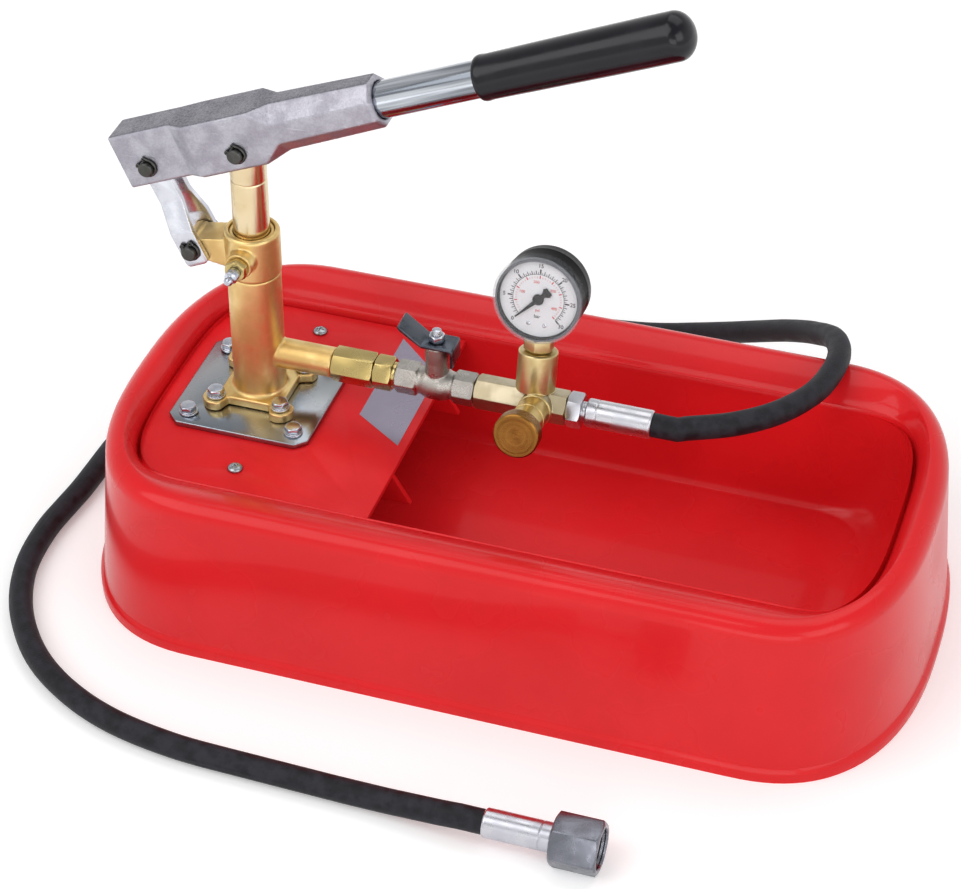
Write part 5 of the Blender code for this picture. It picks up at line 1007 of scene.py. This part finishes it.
seats = [upright(COLUMN_X + x * PLATE_BOLTS, y * PLATE_BOLTS, PLATE_TOP + GAP) for x, y in CORNERS]
seats += [upright(COLUMN_X + x * FLANGE_BOLTS, y * FLANGE_BOLTS, FLANGE_TOP + GAP) for x, y in CORNERS]
bolts = repeated(bolt_item(), seats, BOLT_STEEL, most_turn=1.05, seed=11)
bolt_nodes = [f"{kind}_bolt_{n}" for kind in ("plate", "flange") for n in (1, 2, 3, 4)]
piece("hexagon_bolts", bolts, BOLT_STEEL, "base", *bolt_nodes, slot="bright_steel")
seats = [upright(SCREW_X, side * SCREW_Y, DECK_TOP + GAP) for side in SIDES]
screws = repeated(deck_screw(), seats, ZINC, most_turn=1.5, seed=5)
piece("cross_screws", screws, ZINC, "base", "deck_screw_1", "deck_screw_2", slot="zinc_plate")


# Pump column, head and plunger
def column():
    """The cast barrel with its lugged flange and its delivery stub."""
    lug_radius, waist, barrel_radius, fillet_radius = 0.0072, 0.0175, 0.0140, 0.0026
    foot_radius = barrel_radius + fillet_radius
    spigot, pump_bore, stub, port = 0.0126, 0.0110, 0.0081, 0.0050
    sideways = along(RIGHT, (COLUMN_X, 0, PIPE_Z))
    start = FLANGE_BOLTS - lug_radius * 0.9
    lug = [(waist, start), *arc(lug_radius, -35, 125, 16, (FLANGE_BOLTS, FLANGE_BOLTS)), (start, waist)]
    outline = []
    for quarter in range(4):
        turn = Matrix.Rotation(quarter * math.pi / 2, 2)
        outline += [tuple(turn @ Vector(point)) for point in lug]
    flange = moved(prism(outline, FLANGE_BOTTOM, FLANGE_TOP), PUMP_AXIS)
    barrel = [(0, COLUMN_TOP), (barrel_radius, COLUMN_TOP)]
    barrel += profile_arc(-fillet_radius, -fillet_radius, (90, 70, 50, 30, 15, 0),
                          (foot_radius, FLANGE_TOP + fillet_radius))
    barrel += [(foot_radius, FLANGE_TOP - 0.002), (0, FLANGE_TOP - 0.002)]
    body = combined(flange, "UNION", moved(lathe(barrel), PUMP_AXIS),
                    moved(round_bar(stub, 0, 0.0428), sideways))
    bore = [(0, 0.17), (spigot, 0.17), (spigot, 0.1537), (pump_bore, 0.1537), (pump_bore, 0.1010),
            (SUCTION_HOLE, 0.1010), (SUCTION_HOLE, 0.08), (0, 0.08)]
    body = combined(body, "DIFFERENCE", moved(lathe(bore), PUMP_AXIS),
                    moved(round_bar(port, 0, 0.06, 32), sideways))
    for x, y in CORNERS:
        place = (COLUMN_X + x * FLANGE_BOLTS, y * FLANGE_BOLTS, 0)
        body = combined(body, "DIFFERENCE", moved(round_bar(BOLT_HOLE, 0.08, 0.095, 32), shift(place)))
    return cast(body, 0.00055, 6)


NIPPLE_Z = HEAD_TOP - PACKING_DROP


def head():
    """The head on the barrel, with the ear for the links and the boss for the nipple."""
    top, spigot_foot = HEAD_TOP, HEAD_BOTTOM - 0.008
    drum_radius, spigot, ear_radius, ear_half = 0.0145, 0.0123, 0.0062, 0.0085
    rod_room, packing_room, packing_foot = SEAL_INNER, 0.0119, top - 0.0115
    to_boss = along(FRONT, (COLUMN_X, 0, NIPPLE_Z))
    drum = [(0, top), (0.0133, top), (drum_radius, top - 0.0012), (drum_radius, HEAD_BOTTOM),
            (spigot, HEAD_BOTTOM), (spigot, spigot_foot), (0, spigot_foot)]
    outline = arc(ear_radius, 70, 290, 28, (EAR.x, EAR.z))
    outline += [(COLUMN_X, EAR.z - 0.0100), (COLUMN_X, EAR.z + 0.0105)]
    ear = moved(prism(outline, -ear_half, ear_half), along(FRONT))
    body = combined(moved(lathe(drum), PUMP_AXIS), "UNION", ear, moved(round_bar(0.0070, 0, 0.0200), to_boss))
    bore = [(0, top + 0.002), (packing_room, top + 0.002), (packing_room, packing_foot),
            (rod_room, packing_foot), (rod_room, 0.15), (0, 0.15)]
    pin = moved(round_bar(PIN_HOLE, -0.012, 0.012, 48), along(FRONT, (EAR.x, 0, EAR.z)))
    thread = moved(round_bar(0.0033, 0, 0.024, 32), to_boss)
    return cast(combined(body, "DIFFERENCE", moved(lathe(bore), PUMP_AXIS), pin, thread), 0.0005, 5)


def nipple():
    """The greasing nipple's turning along +Z: a base, a neck and a ball tip."""
    base, neck, ball, tip = 0.0035, 0.00168, 0.0024, 0.00144
    profile = [(0, 0.0100), (tip, 0.0100), (ball, 0.0086), (ball, 0.0080), (neck, 0.0065), (neck, 0.0058),
               (base, 0.0050), (base, 0), (0, 0)]
    return lathe(eased(profile, 0.0003), 48)


def plunger():
    """The ground rod from its chamfered top to its foot, with a hairline groove and the pin's hole."""
    radius, top, groove, foot = 0.0095, 0.0095, -0.0217, -0.1120
    profile = [(0, top), (radius - 0.0030, top), (radius, top - 0.0030), (radius, groove + 0.0005),
               (radius - 0.0004, groove), (radius, groove - 0.0005), (radius, foot + 0.0012),
               (radius - 0.0012, foot), (0, foot)]
    pin = moved(round_bar(PIN_HOLE, -0.012, 0.012, 48), along(FRONT))
    return cleaned(combined(lathe(eased(profile, 0.0003), 96), "DIFFERENCE", pin))


piece("brass_column", column(), COLUMN_BRASS, "base", "cylinder_body", slot="cast_brass")
piece("brass_head", head(), COLUMN_BRASS, "base", "cylinder_head", slot="cast_brass")
packing = round_pipe(SEAL_INNER, SEAL_OUTER, 0, 0.0065, 64, 0.0005)
piece("packing_ring", moved(packing, shift((COLUMN_X, 0, HEAD_TOP - PACKING_DROP))), SEAL_WHITE, "base",
      "rod_seal", slot="seal_white")
gland = round_pipe(SEAL_INNER, SEAL_OUTER, 0, 0.0032, 64, 0.0004)
piece("gland_follower", moved(gland, shift((COLUMN_X, 0, HEAD_TOP - 0.0044))), COLUMN_BRASS, "base",
      "gland_ring", slot="turned_brass")
bush = hex_bar(0.0105, 0, 0.0050, 0.0006)
piece("nipple_hexagon", moved(bush, along(FRONT, (COLUMN_X, -0.0203, NIPPLE_Z))), PIPE_BRASS, "base",
      "nipple_bush", slot="turned_brass")
piece("nipple_turning", moved(nipple(), along(FRONT, (COLUMN_X, -0.0256, NIPPLE_Z))), BOLT_STEEL, "base",
      "grease_nipple", slot="bright_steel")
piece("ground_plunger", moved(plunger(), shift((COLUMN_X, 0, EYE_Z))), ROD_BRASS, "plunger", "piston_rod",
      slot="turned_brass")


# Delivery line
def on_pipe(mesh, x):
    """The mesh turned to run along the delivery line from a distance."""
    return moved(mesh, along(RIGHT, (x, 0, PIPE_Z)))


def threaded(radius, low, high, pitch=0.0011):
    """A short threaded bar along +Z."""
    points = [(0, high)] + ridges(radius, 0.0005, low, high, pitch) + [(0, low)]
    return lathe(points, 48)


def pipe_stub():
    """The threaded end that a fitting screws into its neighbour with."""
    return threaded(THREAD_RADIUS, THREAD_END, 0.0002)


check = merged(hex_bar(0.0166, 0, 0.0224, 0.0007, 0.0053), pipe_stub())
piece("check_hexagon", on_pipe(check, DELIVERY_X), PIPE_BRASS, "base", "check_valve_body", slot="turned_brass")
union = merged(hex_bar(0.0162, 0, 0.0100, 0.0009), round_bar(0.0066, 0.0095, 0.0116, 64, 0.0003),
               threaded(THREAD_RADIUS, 0.0110, 0.0166), pipe_stub())
piece("union_hexagon", on_pipe(union, UNION_X), PIPE_BRASS, "base", "union_nipple", slot="turned_brass")

VALVE_NECK = 0.0250
HANDLE_Z = PIPE_Z + VALVE_NECK + GAP
HANDLE_THICK = 0.0016
STEM_HOLE = 0.0027


def valve_body():
    """The ball valve's cast body along the pipe, its neck upright."""
    half, hexagon, flats = 0.0215, 0.0118, 0.0158
    end, waist, side, belly, neck_radius, ball = 0.0072, 0.0074, 0.0084, 0.0089, 0.0062, 0.0063
    centre = (STEM_X, 0, PIPE_Z)
    sideways = along(RIGHT, centre)
    ends = [moved(hex_bar(flats, low, high, 0.0009), sideways)
            for low, high in ((-half, hexagon - half), (half - hexagon, half))]
    shell = [(end, 0.0150), (waist, 0.0078), (side, 0.0055), (belly, 0.0030)]
    shell = [(0, 0.0150), *shell, *[(radius, -height) for radius, height in shell[::-1]], (0, -0.0150)]
    neck = [(0, VALVE_NECK), (0.0058, VALVE_NECK), (neck_radius, VALVE_NECK - 0.0004), (neck_radius, 0.0190),
            (0.0060, 0.0150), (0.0064, 0), (0, 0)]
    body = combined(moved(lathe(shell), sideways), "UNION", moved(lathe(neck), shift(centre)), *ends)
    bore = moved(round_bar(0.0034, -0.03, 0.03, 32), sideways)
    sphere = moved(lathe(profile_arc(ball, ball, range(0, 181, 10)), 48), shift(centre))
    stem = moved(round_bar(STEM_HOLE, 0, 0.03, 32), shift(centre))
    return cast(combined(body, "DIFFERENCE", bore, sphere, stem), 0.00038, 3)


piece("nickel_valve_body", valve_body(), NICKEL, "base", "shutoff_body", slot="nickel_valve")
stem = merged(threaded(0.0024, 0.0262, 0.0340, 0.0006), round_bar(0.0022, 0.0050, 0.0262, 32))
piece("valve_stem", moved(stem, shift((STEM_X, 0, PIPE_Z))), BOLT_STEEL, "shutoff", "shutoff_stem",
      slot="bright_steel")
nut = hex_bar(0.0075, 0, 0.0040, 0.0006, STEM_HOLE)
piece("stem_nut", moved(nut, shift((STEM_X, 0, HANDLE_Z + HANDLE_THICK + GAP))), BOLT_STEEL, "shutoff",
      "shutoff_nut", slot="bright_steel")


def valve_handle():
    """The stamped handle: a hub plate, a stop tab bent down and a wing bent up."""
    thick, hub, wing, rise = HANDLE_THICK, 0.0065, 0.0187, 0.0095
    tab, drop, wide, corner = 0.0105, 0.0095, 0.0068, 0.0028
    bend = hub + (wing - hub) * 0.45
    section = [(-hub, 0), (tab - thick - 0.0008, 0), (tab - thick, -0.0008), (tab - thick, -drop),
               (tab, -drop), (tab, thick - 0.0012), (tab - 0.0004, thick - 0.0004), (tab - 0.0012, thick),
               (-hub, thick), (-bend, rise * 0.45 + thick), (-wing, rise + thick),
               (-wing - thick * 0.7, rise), (-bend - thick * 0.5, rise * 0.45)]
    inner = corner - wing - thick
    plan = arc(corner, 90, 180, 6, (inner, wide - corner))
    plan += arc(corner, 180, 270, 6, (inner, corner - wide))
    plan += [(tab + OVERRUN, -wide), (tab + OVERRUN, wide)]
    body = moved(prism(section, -wide, wide), along(FRONT))
    body = combined(body, "INTERSECT", prism(plan, -0.03, 0.03))
    body = combined(body, "DIFFERENCE", round_bar(STEM_HOLE, -0.002, 0.004, 32))
    return moved(bevelled(body, 0.0003), shift((STEM_X, 0, HANDLE_Z)))


piece("stamped_handle", valve_handle(), BLUED, "shutoff", "shutoff_handle", slot="blued_handle")


def manifold_mesh():
    """The manifold's hexagon along the line, with the gauge's post on it and the drain's boss in front."""
    post, neck, post_foot, post_top = 0.0103, 0.0060, 0.0078, 0.0294
    boss, boss_end = 0.0090, 0.0115
    bar = moved(merged(hex_bar(0.0160, 0, 0.0490, 0.0008), pipe_stub()), along(RIGHT))
    upward = [(0, 0.0300), (neck, 0.0300), (0.0066, post_top), (0.0095, post_top), (post, 0.0286),
              (post, post_foot), (neck, post_foot), (neck, 0.0), (0, 0.0)]
    forward = [(0, boss_end), (0.0084, boss_end), (boss, 0.0109), (boss, 0), (0, 0)]
    return moved(merged(bar, moved(lathe(eased(upward, 0.0004)), shift((POST_OFFSET, 0, 0))),
                        moved(lathe(eased(forward, 0.0002)), along(FRONT, (DRAIN_OFFSET, 0, 0)))), LEAN_FRAME)


manifold = piece("brass_manifold", manifold_mesh(), POST_BRASS, "base", "manifold", slot="turned_brass")
manifold.data.materials.append(BAR_BRASS_PAINTED_SHEEN)
# Faces low on the manifold, those of its hexagon bar, take the paler brass, its painted sheen.
bar_top, bar_front = 0.0081, -0.0083
from_line = LEAN_FRAME.inverted()
for face in manifold.data.polygons:
    at = from_line @ face.center
    face.material_index = 1 if at.z < bar_top and at.y > bar_front else 0


def drain_sleeve():
    """The stepped sleeve that the drain's needle screws into."""
    end, collar, step, start = 0.0343, 0.0085, 0.0218, 0.0118
    profile = [(0, end), (0.0080, end), (0.0080, step), (collar, step), (collar, start), (0, start)]
    return lathe(eased(profile, 0.0004))


def drain_knob():
    """The knob, dished in front and hollow behind."""
    rim, front, back, socket, socket_top = 0.0120, 0.0440, 0.0360, 0.0031, 0.0413
    profile = [(0, 0.0432), (0.0106, front), (0.0112, front), (rim, 0.0434), (rim, 0.0368), (0.0114, back),
               (socket, back), (socket, socket_top), (0, socket_top)]
    return lathe(eased(profile, 0.0003), 96)


piece("drain_sleeve", moved(drain_sleeve(), DRAIN_AXIS), DRAIN_BRASS, "base", "drain_bonnet",
      slot="turned_brass")
piece("drain_knob_disc", moved(drain_knob(), DRAIN_AXIS), KNOB_SHADED_BRASS, "drain_wheel", "drain_knob",
      slot="turned_brass")
fitting = merged(hex_bar(0.0165, 0, 0.0077, 0.0008), round_bar(0.0052, 0.0070, 0.0097, 48, 0.0002),
                 pipe_stub())
piece("hose_hexagon", on_pipe(fitting, FITTING_X), SLEEVE_STEEL, "base", "hose_fitting", slot="bright_steel")


# Gauge
GAUGE_FRONT = 0.01225
DIAL_FACE = GAUGE_FRONT - 0.0012 - 0.0020
NECK_HOLE = 0.0043
WINDOW_RADIUS = 0.0234
INK = 0.00004
SCALE_START = math.radians(225)
SCALE_SWEEP = math.radians(270)


def gauge_case():
    """The black cup behind the dial, open to the front and round at the back."""
    front, back, wall = GAUGE_FRONT - 0.0015, -GAUGE_FRONT, 0.0016
    outer, corner, dish = 0.0222, 0.0028, 0.0115
    profile = [(0, wall + back), (outer - wall, wall + back), (outer - wall, front), (outer, front)]
    profile += [(outer, -0.0040), (outer + 0.0002, -0.0046), (outer, -0.0052)]
    profile += profile_arc(corner, -corner, range(90, -1, -15), (outer - corner, back + corner))
    profile += [(dish + 0.0005, back), (dish, back - 0.0003), (dish - 0.0005, back), (0, back)]
    neck = moved(round_bar(NECK_HOLE, -0.004, 0.004, 32), along(-FRONT, (0, -outer, 0)))
    return combined(lathe(profile, 96), "DIFFERENCE", neck)


piece("gauge_cup", moved(gauge_case(), DIAL_AXIS), CASE_BLACK, "base", "gauge_case", slot="gauge_black")


def gauge_window():
    """The clear window with its ring: a clear disc inside a rim painted grey and darker on its side, a painted
    shade.
    """
    front, outer, skirt, pane = GAUGE_FRONT, WINDOW_RADIUS, 0.0225, 0.0012
    profile = [(0, front - 0.0004), (0.0200, front - 0.0004), (0.0208, front), (outer - 0.0010, front),
               (outer - 0.0003, front - 0.0003), (outer, front - 0.0010), (outer, front - 0.0070),
               (skirt, front - 0.0070), (skirt, front - pane), (0, front - pane)]
    return lathe(profile, 128)


window = piece("clear_window", moved(gauge_window(), DIAL_AXIS), WINDOW, "base", "gauge_window",
               slot="clear_lens")
window.data.materials.append(WINDOW_RING)
window.data.materials.append(WINDOW_SIDE)
# The ring's front takes the grey painted shade, its side the darker one.
clear_radius, ring_depth = 0.0214, 0.0016
from_axis = DIAL_AXIS.inverted()
for face in window.data.polygons:
    at = from_axis @ face.center
    on_ring = 1 if at.z > GAUGE_FRONT - ring_depth else 2
    face.material_index = 0 if math.hypot(at.x, at.y) < clear_radius else on_ring

disc = round_bar(0.0205, DIAL_FACE - 0.0008, DIAL_FACE, 96, 0.0002)
piece("dial_plate", moved(disc, DIAL_AXIS), DIAL_WHITE, "base", "gauge_dial", slot="dial_white")


def dial_point(share, radius):
    """A place on the dial's face at a share of the scale."""
    angle = SCALE_START - SCALE_SWEEP * share
    return radius * math.cos(angle), radius * math.sin(angle), angle


def dial_marks(count, radius, length, width, skip=0):
    """Marks round a scale, but for every so many."""
    places = []
    for i in range(count + 1):
        if skip and i % skip == 0:
            continue
        x, y, angle = dial_point(i / count, radius - length / 2)
        places.append(((x, y, DIAL_FACE), (0, 0, angle), (length, width, 1)))
    return places


def lettering(words, size, place, bold=0.0):
    """Words set flat on the dial, centred on a place."""
    text_depth = 0.00002
    text = bpy.data.curves.new("words", "FONT")
    text.body = words
    text.size = size
    text.align_x = text.align_y = "CENTER"
    text.offset = bold
    text.extrude = text_depth
    return moved(taken_mesh(new_object("words", text)), shift((*place, DIAL_FACE + text_depth)))


def scale_arc(radius, width):
    """A thin printed line along the scale."""
    outer = [dial_point(i / 90, radius + width / 2)[:2] for i in range(91)]
    inner = [dial_point(i / 90, radius - width / 2)[:2] for i in range(90, -1, -1)]
    return prism(inner[::-1] + outer[::-1], DIAL_FACE, DIAL_FACE + INK)


mark = box_mesh((-0.5, -0.5, 0), (0.5, 0.5, INK))
places = dial_marks(6, 0.0162, 0.0025, 0.00080) + dial_marks(30, 0.0153, 0.0018, 0.00044, 5)
places += dial_marks(60, 0.0146, 0.0012, 0.00028, 2)
black = [repeated(mark, places, PRINT_BLACK), scale_arc(0.0134, 0.00026)]
black.append(round_pipe(0.0202, 0.0204, DIAL_FACE, DIAL_FACE + INK, 96))
for step in range(7):
    x, y, _ = dial_point(step / 6, 0.0180)
    black.append(lettering(str(step * 5), 0.0029, (x, y), 0.00006))
black.append(lettering("bar", 0.0026, (0, -0.0094), 0.00004))
piece("dial_scale", moved(merged(*black), DIAL_AXIS), PRINT_BLACK, "base", slot="gauge_black")
places = dial_marks(8, 0.0128, 0.0016, 0.00060) + dial_marks(40, 0.0122, 0.0009, 0.00020, 5)
red = [repeated(mark, places, PRINT_RED)]
for step in (1, 2, 3, 4):
    x, y, _ = dial_point(step / 4.35, 0.0092)
    red.append(lettering(str(step * 100), 0.0021, (x, y), 0.00002))
red.append(lettering("psi", 0.0022, (0, -0.0060), 0.00003))
piece("dial_inner_scale", moved(merged(*red), DIAL_AXIS), PRINT_RED, "base", slot="red_tank")
heads = [((side * 0.0042, -0.0137, DIAL_FACE), (0, 0, 1.4 + 0.8 * side), (1, 1, 1)) for side in SIDES]
screw = combined(lathe([(0, 0.0004), (0.0007, 0.00038), (0.0011, 0.0002), (0.0011, 0.0), (0, 0)], 32),
                 "DIFFERENCE", box_mesh((-0.002, -0.00013, 0.0002), (0.002, 0.00013, 0.001)))
piece("dial_screws", moved(repeated(screw, heads, BOLT_STEEL), DIAL_AXIS), BOLT_STEEL, "base",
      slot="bright_steel")


def gauge_pointer():
    """The tapered pointer on its hub, at rest on the scale's start."""
    half, reach, tail = 0.0012, 0.0160, 0.0078
    outline = [(half * 0.22, reach), (-half * 0.22, reach), (-half, 0), (-half, -tail * 0.5),
               (-half * 2.3, -tail * 0.78), (-half * 1.7, -tail), (half * 1.7, -tail),
               (half * 2.3, -tail * 0.78), (half, -tail * 0.5), (half, 0)]
    blade = bevelled(prism(outline, 0, 0.0005), 0.00012)
    hub = lathe(eased([(0, 0.0010), (0.0024, 0.0010), (0.0029, 0.0005), (0.0029, -0.0002), (0.0006, -0.0002),
                       (0.0006, -0.0055), (0, -0.0055)], 0.0002), 48)
    turn = Matrix.Rotation(SCALE_START - math.pi / 2, 4, "Z")
    return moved(merged(blade, hub), shift((0, 0, DIAL_FACE + 0.0006)) @ turn)


piece("tapered_pointer", moved(gauge_pointer(), DIAL_AXIS), POINTER_BLACK, "pointer", "gauge_pointer",
      slot="gauge_black")


def gauge_socket():
    """The hexagon under the case, with its neck above and its thread below."""
    length = 0.0070
    low = -WINDOW_RADIUS - GAP - length
    return merged(hex_bar(0.0140, low, low + length, 0.0007), round_bar(0.0040, low + 0.005, -0.0070, 48),
                  threaded(0.0050, low - 0.0080, low + 0.0002))


piece("gauge_hexagon", moved(gauge_socket(), DIAL_FRAME), POST_BRASS, "base", "gauge_socket",
      slot="turned_brass")


# Lever, pins and links
TUBE_START = 0.0335
GRIP_BORE_END = GRIP_START + GRIP_LENGTH - 0.0120


def grip():
    """The dipped grip: a rolled lip, a slow swell and a domed end."""
    dome, radius, bore, bore_depth = 0.0095, 0.0120, 0.0097, 0.0997
    profile = profile_arc(radius, dome, range(0, 91, 6), (0, GRIP_LENGTH - dome))
    profile += [(radius, 0.090), (0.01185, 0.070), (0.0116, 0.045), (0.0113, 0.020), (0.0111, 0.0050),
                (0.0113, 0.0034), (0.0114, 0.0020), (0.0111, 0.0006), (0.0104, 0.0), (bore, 0.0),
                (bore, bore_depth), (0, bore_depth)]
    return lathe(eased(profile, 0.0004), 96)


casting = cast(copy_of("lever_casting"), 0.0006, 2)
piece("cast_lever", casting, CAST, "lever", "lever_casting", slot="cast_aluminium")
tube = round_pipe(0.0079, 0.0094, 0, GRIP_BORE_END - GAP - TUBE_START, 72, 0.0003, 2)
piece("polished_tube", moved(tube, HANDLE_AXIS @ shift((0, 0, TUBE_START))), TUBE_STEEL, "lever",
      "handle_tube", slot="bright_steel")
piece("domed_grip", moved(grip(), HANDLE_AXIS @ shift((0, 0, GRIP_START))), GRIP_BLACK, "lever", "grip",
      slot="grip_black")


def pin_and_clip(half_width):
    """A headed pin along +Z with the spring clip at its far end."""
    pin_radius, groove, head, head_thick = 0.0040, 0.0036, 0.0056, 0.0016
    clip, thick = half_width + GAP, 0.0010
    clip_outer, clip_inner, ear_radius = 0.0052, 0.0039, 0.0049
    opening, mouth, ear_turn = 120, 38, 34
    end = clip + thick + 0.0028
    profile = [(0, end), (0.0034, end), (pin_radius, end - 0.0006), (pin_radius, clip + thick + GAP),
               (groove, clip + thick + GAP), (groove, clip - GAP), (pin_radius, clip - GAP),
               (pin_radius, -clip), (head, -clip), (head, -clip - head_thick), (0, -clip - head_thick)]
    first, last = opening + mouth, opening + 360 - mouth
    outline = arc(clip_outer, first, last, 40) + arc(clip_inner, last, first, 40)
    shapes = [prism(outline, clip, clip + thick)]
    for angle in (opening + ear_turn, opening + 360 - ear_turn):
        ear = round_pipe(0.0005, 0.0013, 0, thick, 28)
        shapes.append(moved(ear, shift((*polar(ear_radius, angle), clip))))
    return lathe(eased(profile, 0.0003), 64), bevelled(merged(*shapes), 0.00015, 1)


for name, half_width, place, body in (("plunger_pin", 0.0135, LEVER_FRAME, "lever"),
                                      ("link_top_pin", 0.0100, LEVER_FRAME @ shift(LINK_PIN), "lever"),
                                      ("link_foot_pin", 0.0118, shift(EAR), "base")):
    pin, clip = pin_and_clip(half_width)
    piece(name + "_turning", moved(pin, place @ along(FRONT)), PIN_STEEL, body, name, slot="black_pins")
    piece(name + "_ring", moved(clip, place @ along(FRONT)), PIN_STEEL, body, name + "_clip",
          slot="black_pins")

LINK_TOP = LEVER_FRAME @ Vector(LINK_PIN)
LINK_LENGTH = (LINK_TOP - EAR).length
LINK_FRAME = shift(EAR) @ Matrix.Rotation(math.atan2(LINK_TOP.x - EAR.x, LINK_TOP.z - EAR.z), 4, "Y")


def strap(side):
    """One bent strap, from the ear's pin to the lever's."""
    low_y, high_y, thick, wide = 0.0088, 0.0035, 0.0030, 0.0065
    eye, eye_hole, foot, corner = 0.0093, 0.0074, -0.0088, 0.0026
    bends = [(-0.02, low_y), (0.0104, low_y), (0.0112, low_y - 0.0001), (0.0120, low_y - 0.0003),
             (0.0262, high_y + 0.0003), (0.0270, high_y + 0.0001), (0.0278, high_y),
             (LINK_LENGTH + eye + 0.02, high_y)]
    outline = [(-height, side * y) for height, y in bends]
    outline += [(-height, side * (y + thick)) for height, y in bends[::-1]]
    if side > 0:
        outline = outline[::-1]
    meet = math.degrees(math.acos(wide / eye))
    plan = arc(corner, 180, 270, 6, (corner - wide, foot + corner))
    plan += arc(corner, 270, 360, 6, (wide - corner, foot + corner))
    plan += arc(eye, -meet, 180 + meet, 48, (0, LINK_LENGTH))
    body = moved(prism(outline, -0.012, 0.012), along(RIGHT))
    body = combined(body, "INTERSECT", moved(prism(plan, -0.02, 0.02), along(FRONT)))
    holes = [moved(round_bar(PIN_HOLE, -0.02, 0.02, 48), along(FRONT)),
             moved(round_bar(eye_hole, -0.02, 0.02, 48), along(FRONT, (0, 0, LINK_LENGTH)))]
    return bevelled(combined(body, "DIFFERENCE", *holes), 0.0004)


for name, side in (("link_strap_front", -1), ("link_strap_rear", 1)):
    piece(name + "_bent", moved(strap(side), LINK_FRAME), STRAP_STEEL, "links", name, slot="bright_steel")

# Solids that stay, each with its finish
for node, material in (("suction_ball", BOLT_STEEL), ("suction_pipe", PIPE_BRASS),
                       ("suction_strainer", BOLT_STEEL), ("check_ball", BOLT_STEEL),
                       ("check_spring", BOLT_STEEL), ("shutoff_ball", BOLT_STEEL),
                       ("gauge_movement", POST_BRASS), ("bourdon_tube", POST_BRASS),
                       ("drain_spindle", BOLT_STEEL)):
    solid = nodes[node]
    if not solid.material_slots:
        solid.data.materials.append(material)
    for place in solid.material_slots:
        place.material = material


# Floor, world and lights
def make_floor():
    """A wide pale floor, white where the camera sees it straight, in gloss or through glass."""
    half = 4
    mesh = bpy.data.meshes.new("floor")
    mesh.from_pydata([(-half, -half, 0), (half, -half, 0), (half, half, 0), (-half, half, 0)], [],
                     [(0, 1, 2, 3)])
    material = bpy.data.materials.new("pale_floor")
    material.use_nodes = True
    tree = material.node_tree
    shader = tree.nodes["Principled BSDF"].inputs
    shader["Base Color"].default_value = (0.90, 0.90, 0.90, 1)
    shader["Roughness"].default_value = 0.9
    shader["Emission Color"].default_value = (1, 1, 1, 1)
    path = tree.nodes.new("ShaderNodeLightPath").outputs
    seen = math_node(tree, "ADD", path["Is Camera Ray"], path["Is Glossy Ray"])
    seen = math_node(tree, "ADD", seen, path["Is Transmission Ray"], clamp=True)
    place = tree.nodes.new("ShaderNodeTexCoord").outputs["Object"]
    away = add_node(tree, "ShaderNodeVectorMath", {0: place}, operation="LENGTH").outputs["Value"]
    strength = spread(tree, away, 0.5, 2.0, 0.25, 0.9)
    feed(tree, shader["Emission Strength"], math_node(tree, "MULTIPLY", seen, strength))
    mesh.materials.append(material)
    new_object("studio_floor", mesh)


def make_world():
    """A white surround for the camera and glass, greyer overhead in gloss and softer in its light."""
    world = bpy.data.worlds.new("studio")
    world.use_nodes = True
    tree = world.node_tree
    back = tree.nodes["Background"].inputs
    back["Color"].default_value = (1, 1, 1, 1)
    path = tree.nodes.new("ShaderNodeLightPath").outputs
    place = tree.nodes.new("ShaderNodeTexCoord").outputs["Generated"]
    parts = add_node(tree, "ShaderNodeSeparateXYZ", {0: place}).outputs
    overhead = spread(tree, parts["Z"], 0.15, 0.85, 1.0, 0.45)
    gloss = math_node(tree, "MULTIPLY", path["Is Glossy Ray"], overhead)
    plain = math_node(tree, "MAXIMUM", path["Is Camera Ray"], path["Is Transmission Ray"])
    given_light = 0.42
    dimmer = math_node(tree, "MAXIMUM", gloss, given_light)
    feed(tree, back["Strength"], math_node(tree, "MAXIMUM", plain, dimmer))
    bpy.context.scene.world = world


def make_light(name, place, size, power):
    """A soft square lamp that faces the pump."""
    lamp = bpy.data.lights.new(name, "AREA")
    lamp.shape = "RECTANGLE"
    lamp.size, lamp.size_y = size
    lamp.energy = power
    made = new_object(name, lamp)
    made.location = place
    made.rotation_euler = facing(place, (-0.03, 0, 0.08))


make_floor()
make_world()
make_light("key_softbox", (-0.9, -0.9, 1.6), (1.5, 1.5), 15)
make_light("fill_softbox", (1.4, -0.8, 1.1), (1.2, 0.9), 7)
make_light("top_softbox", (0.1, 0.7, 1.8), (1.8, 1.2), 9)
make_light("front_softbox", (0.5, -1.8, 0.6), (1.4, 0.7), 6)

bpy.context.view_layer.update()
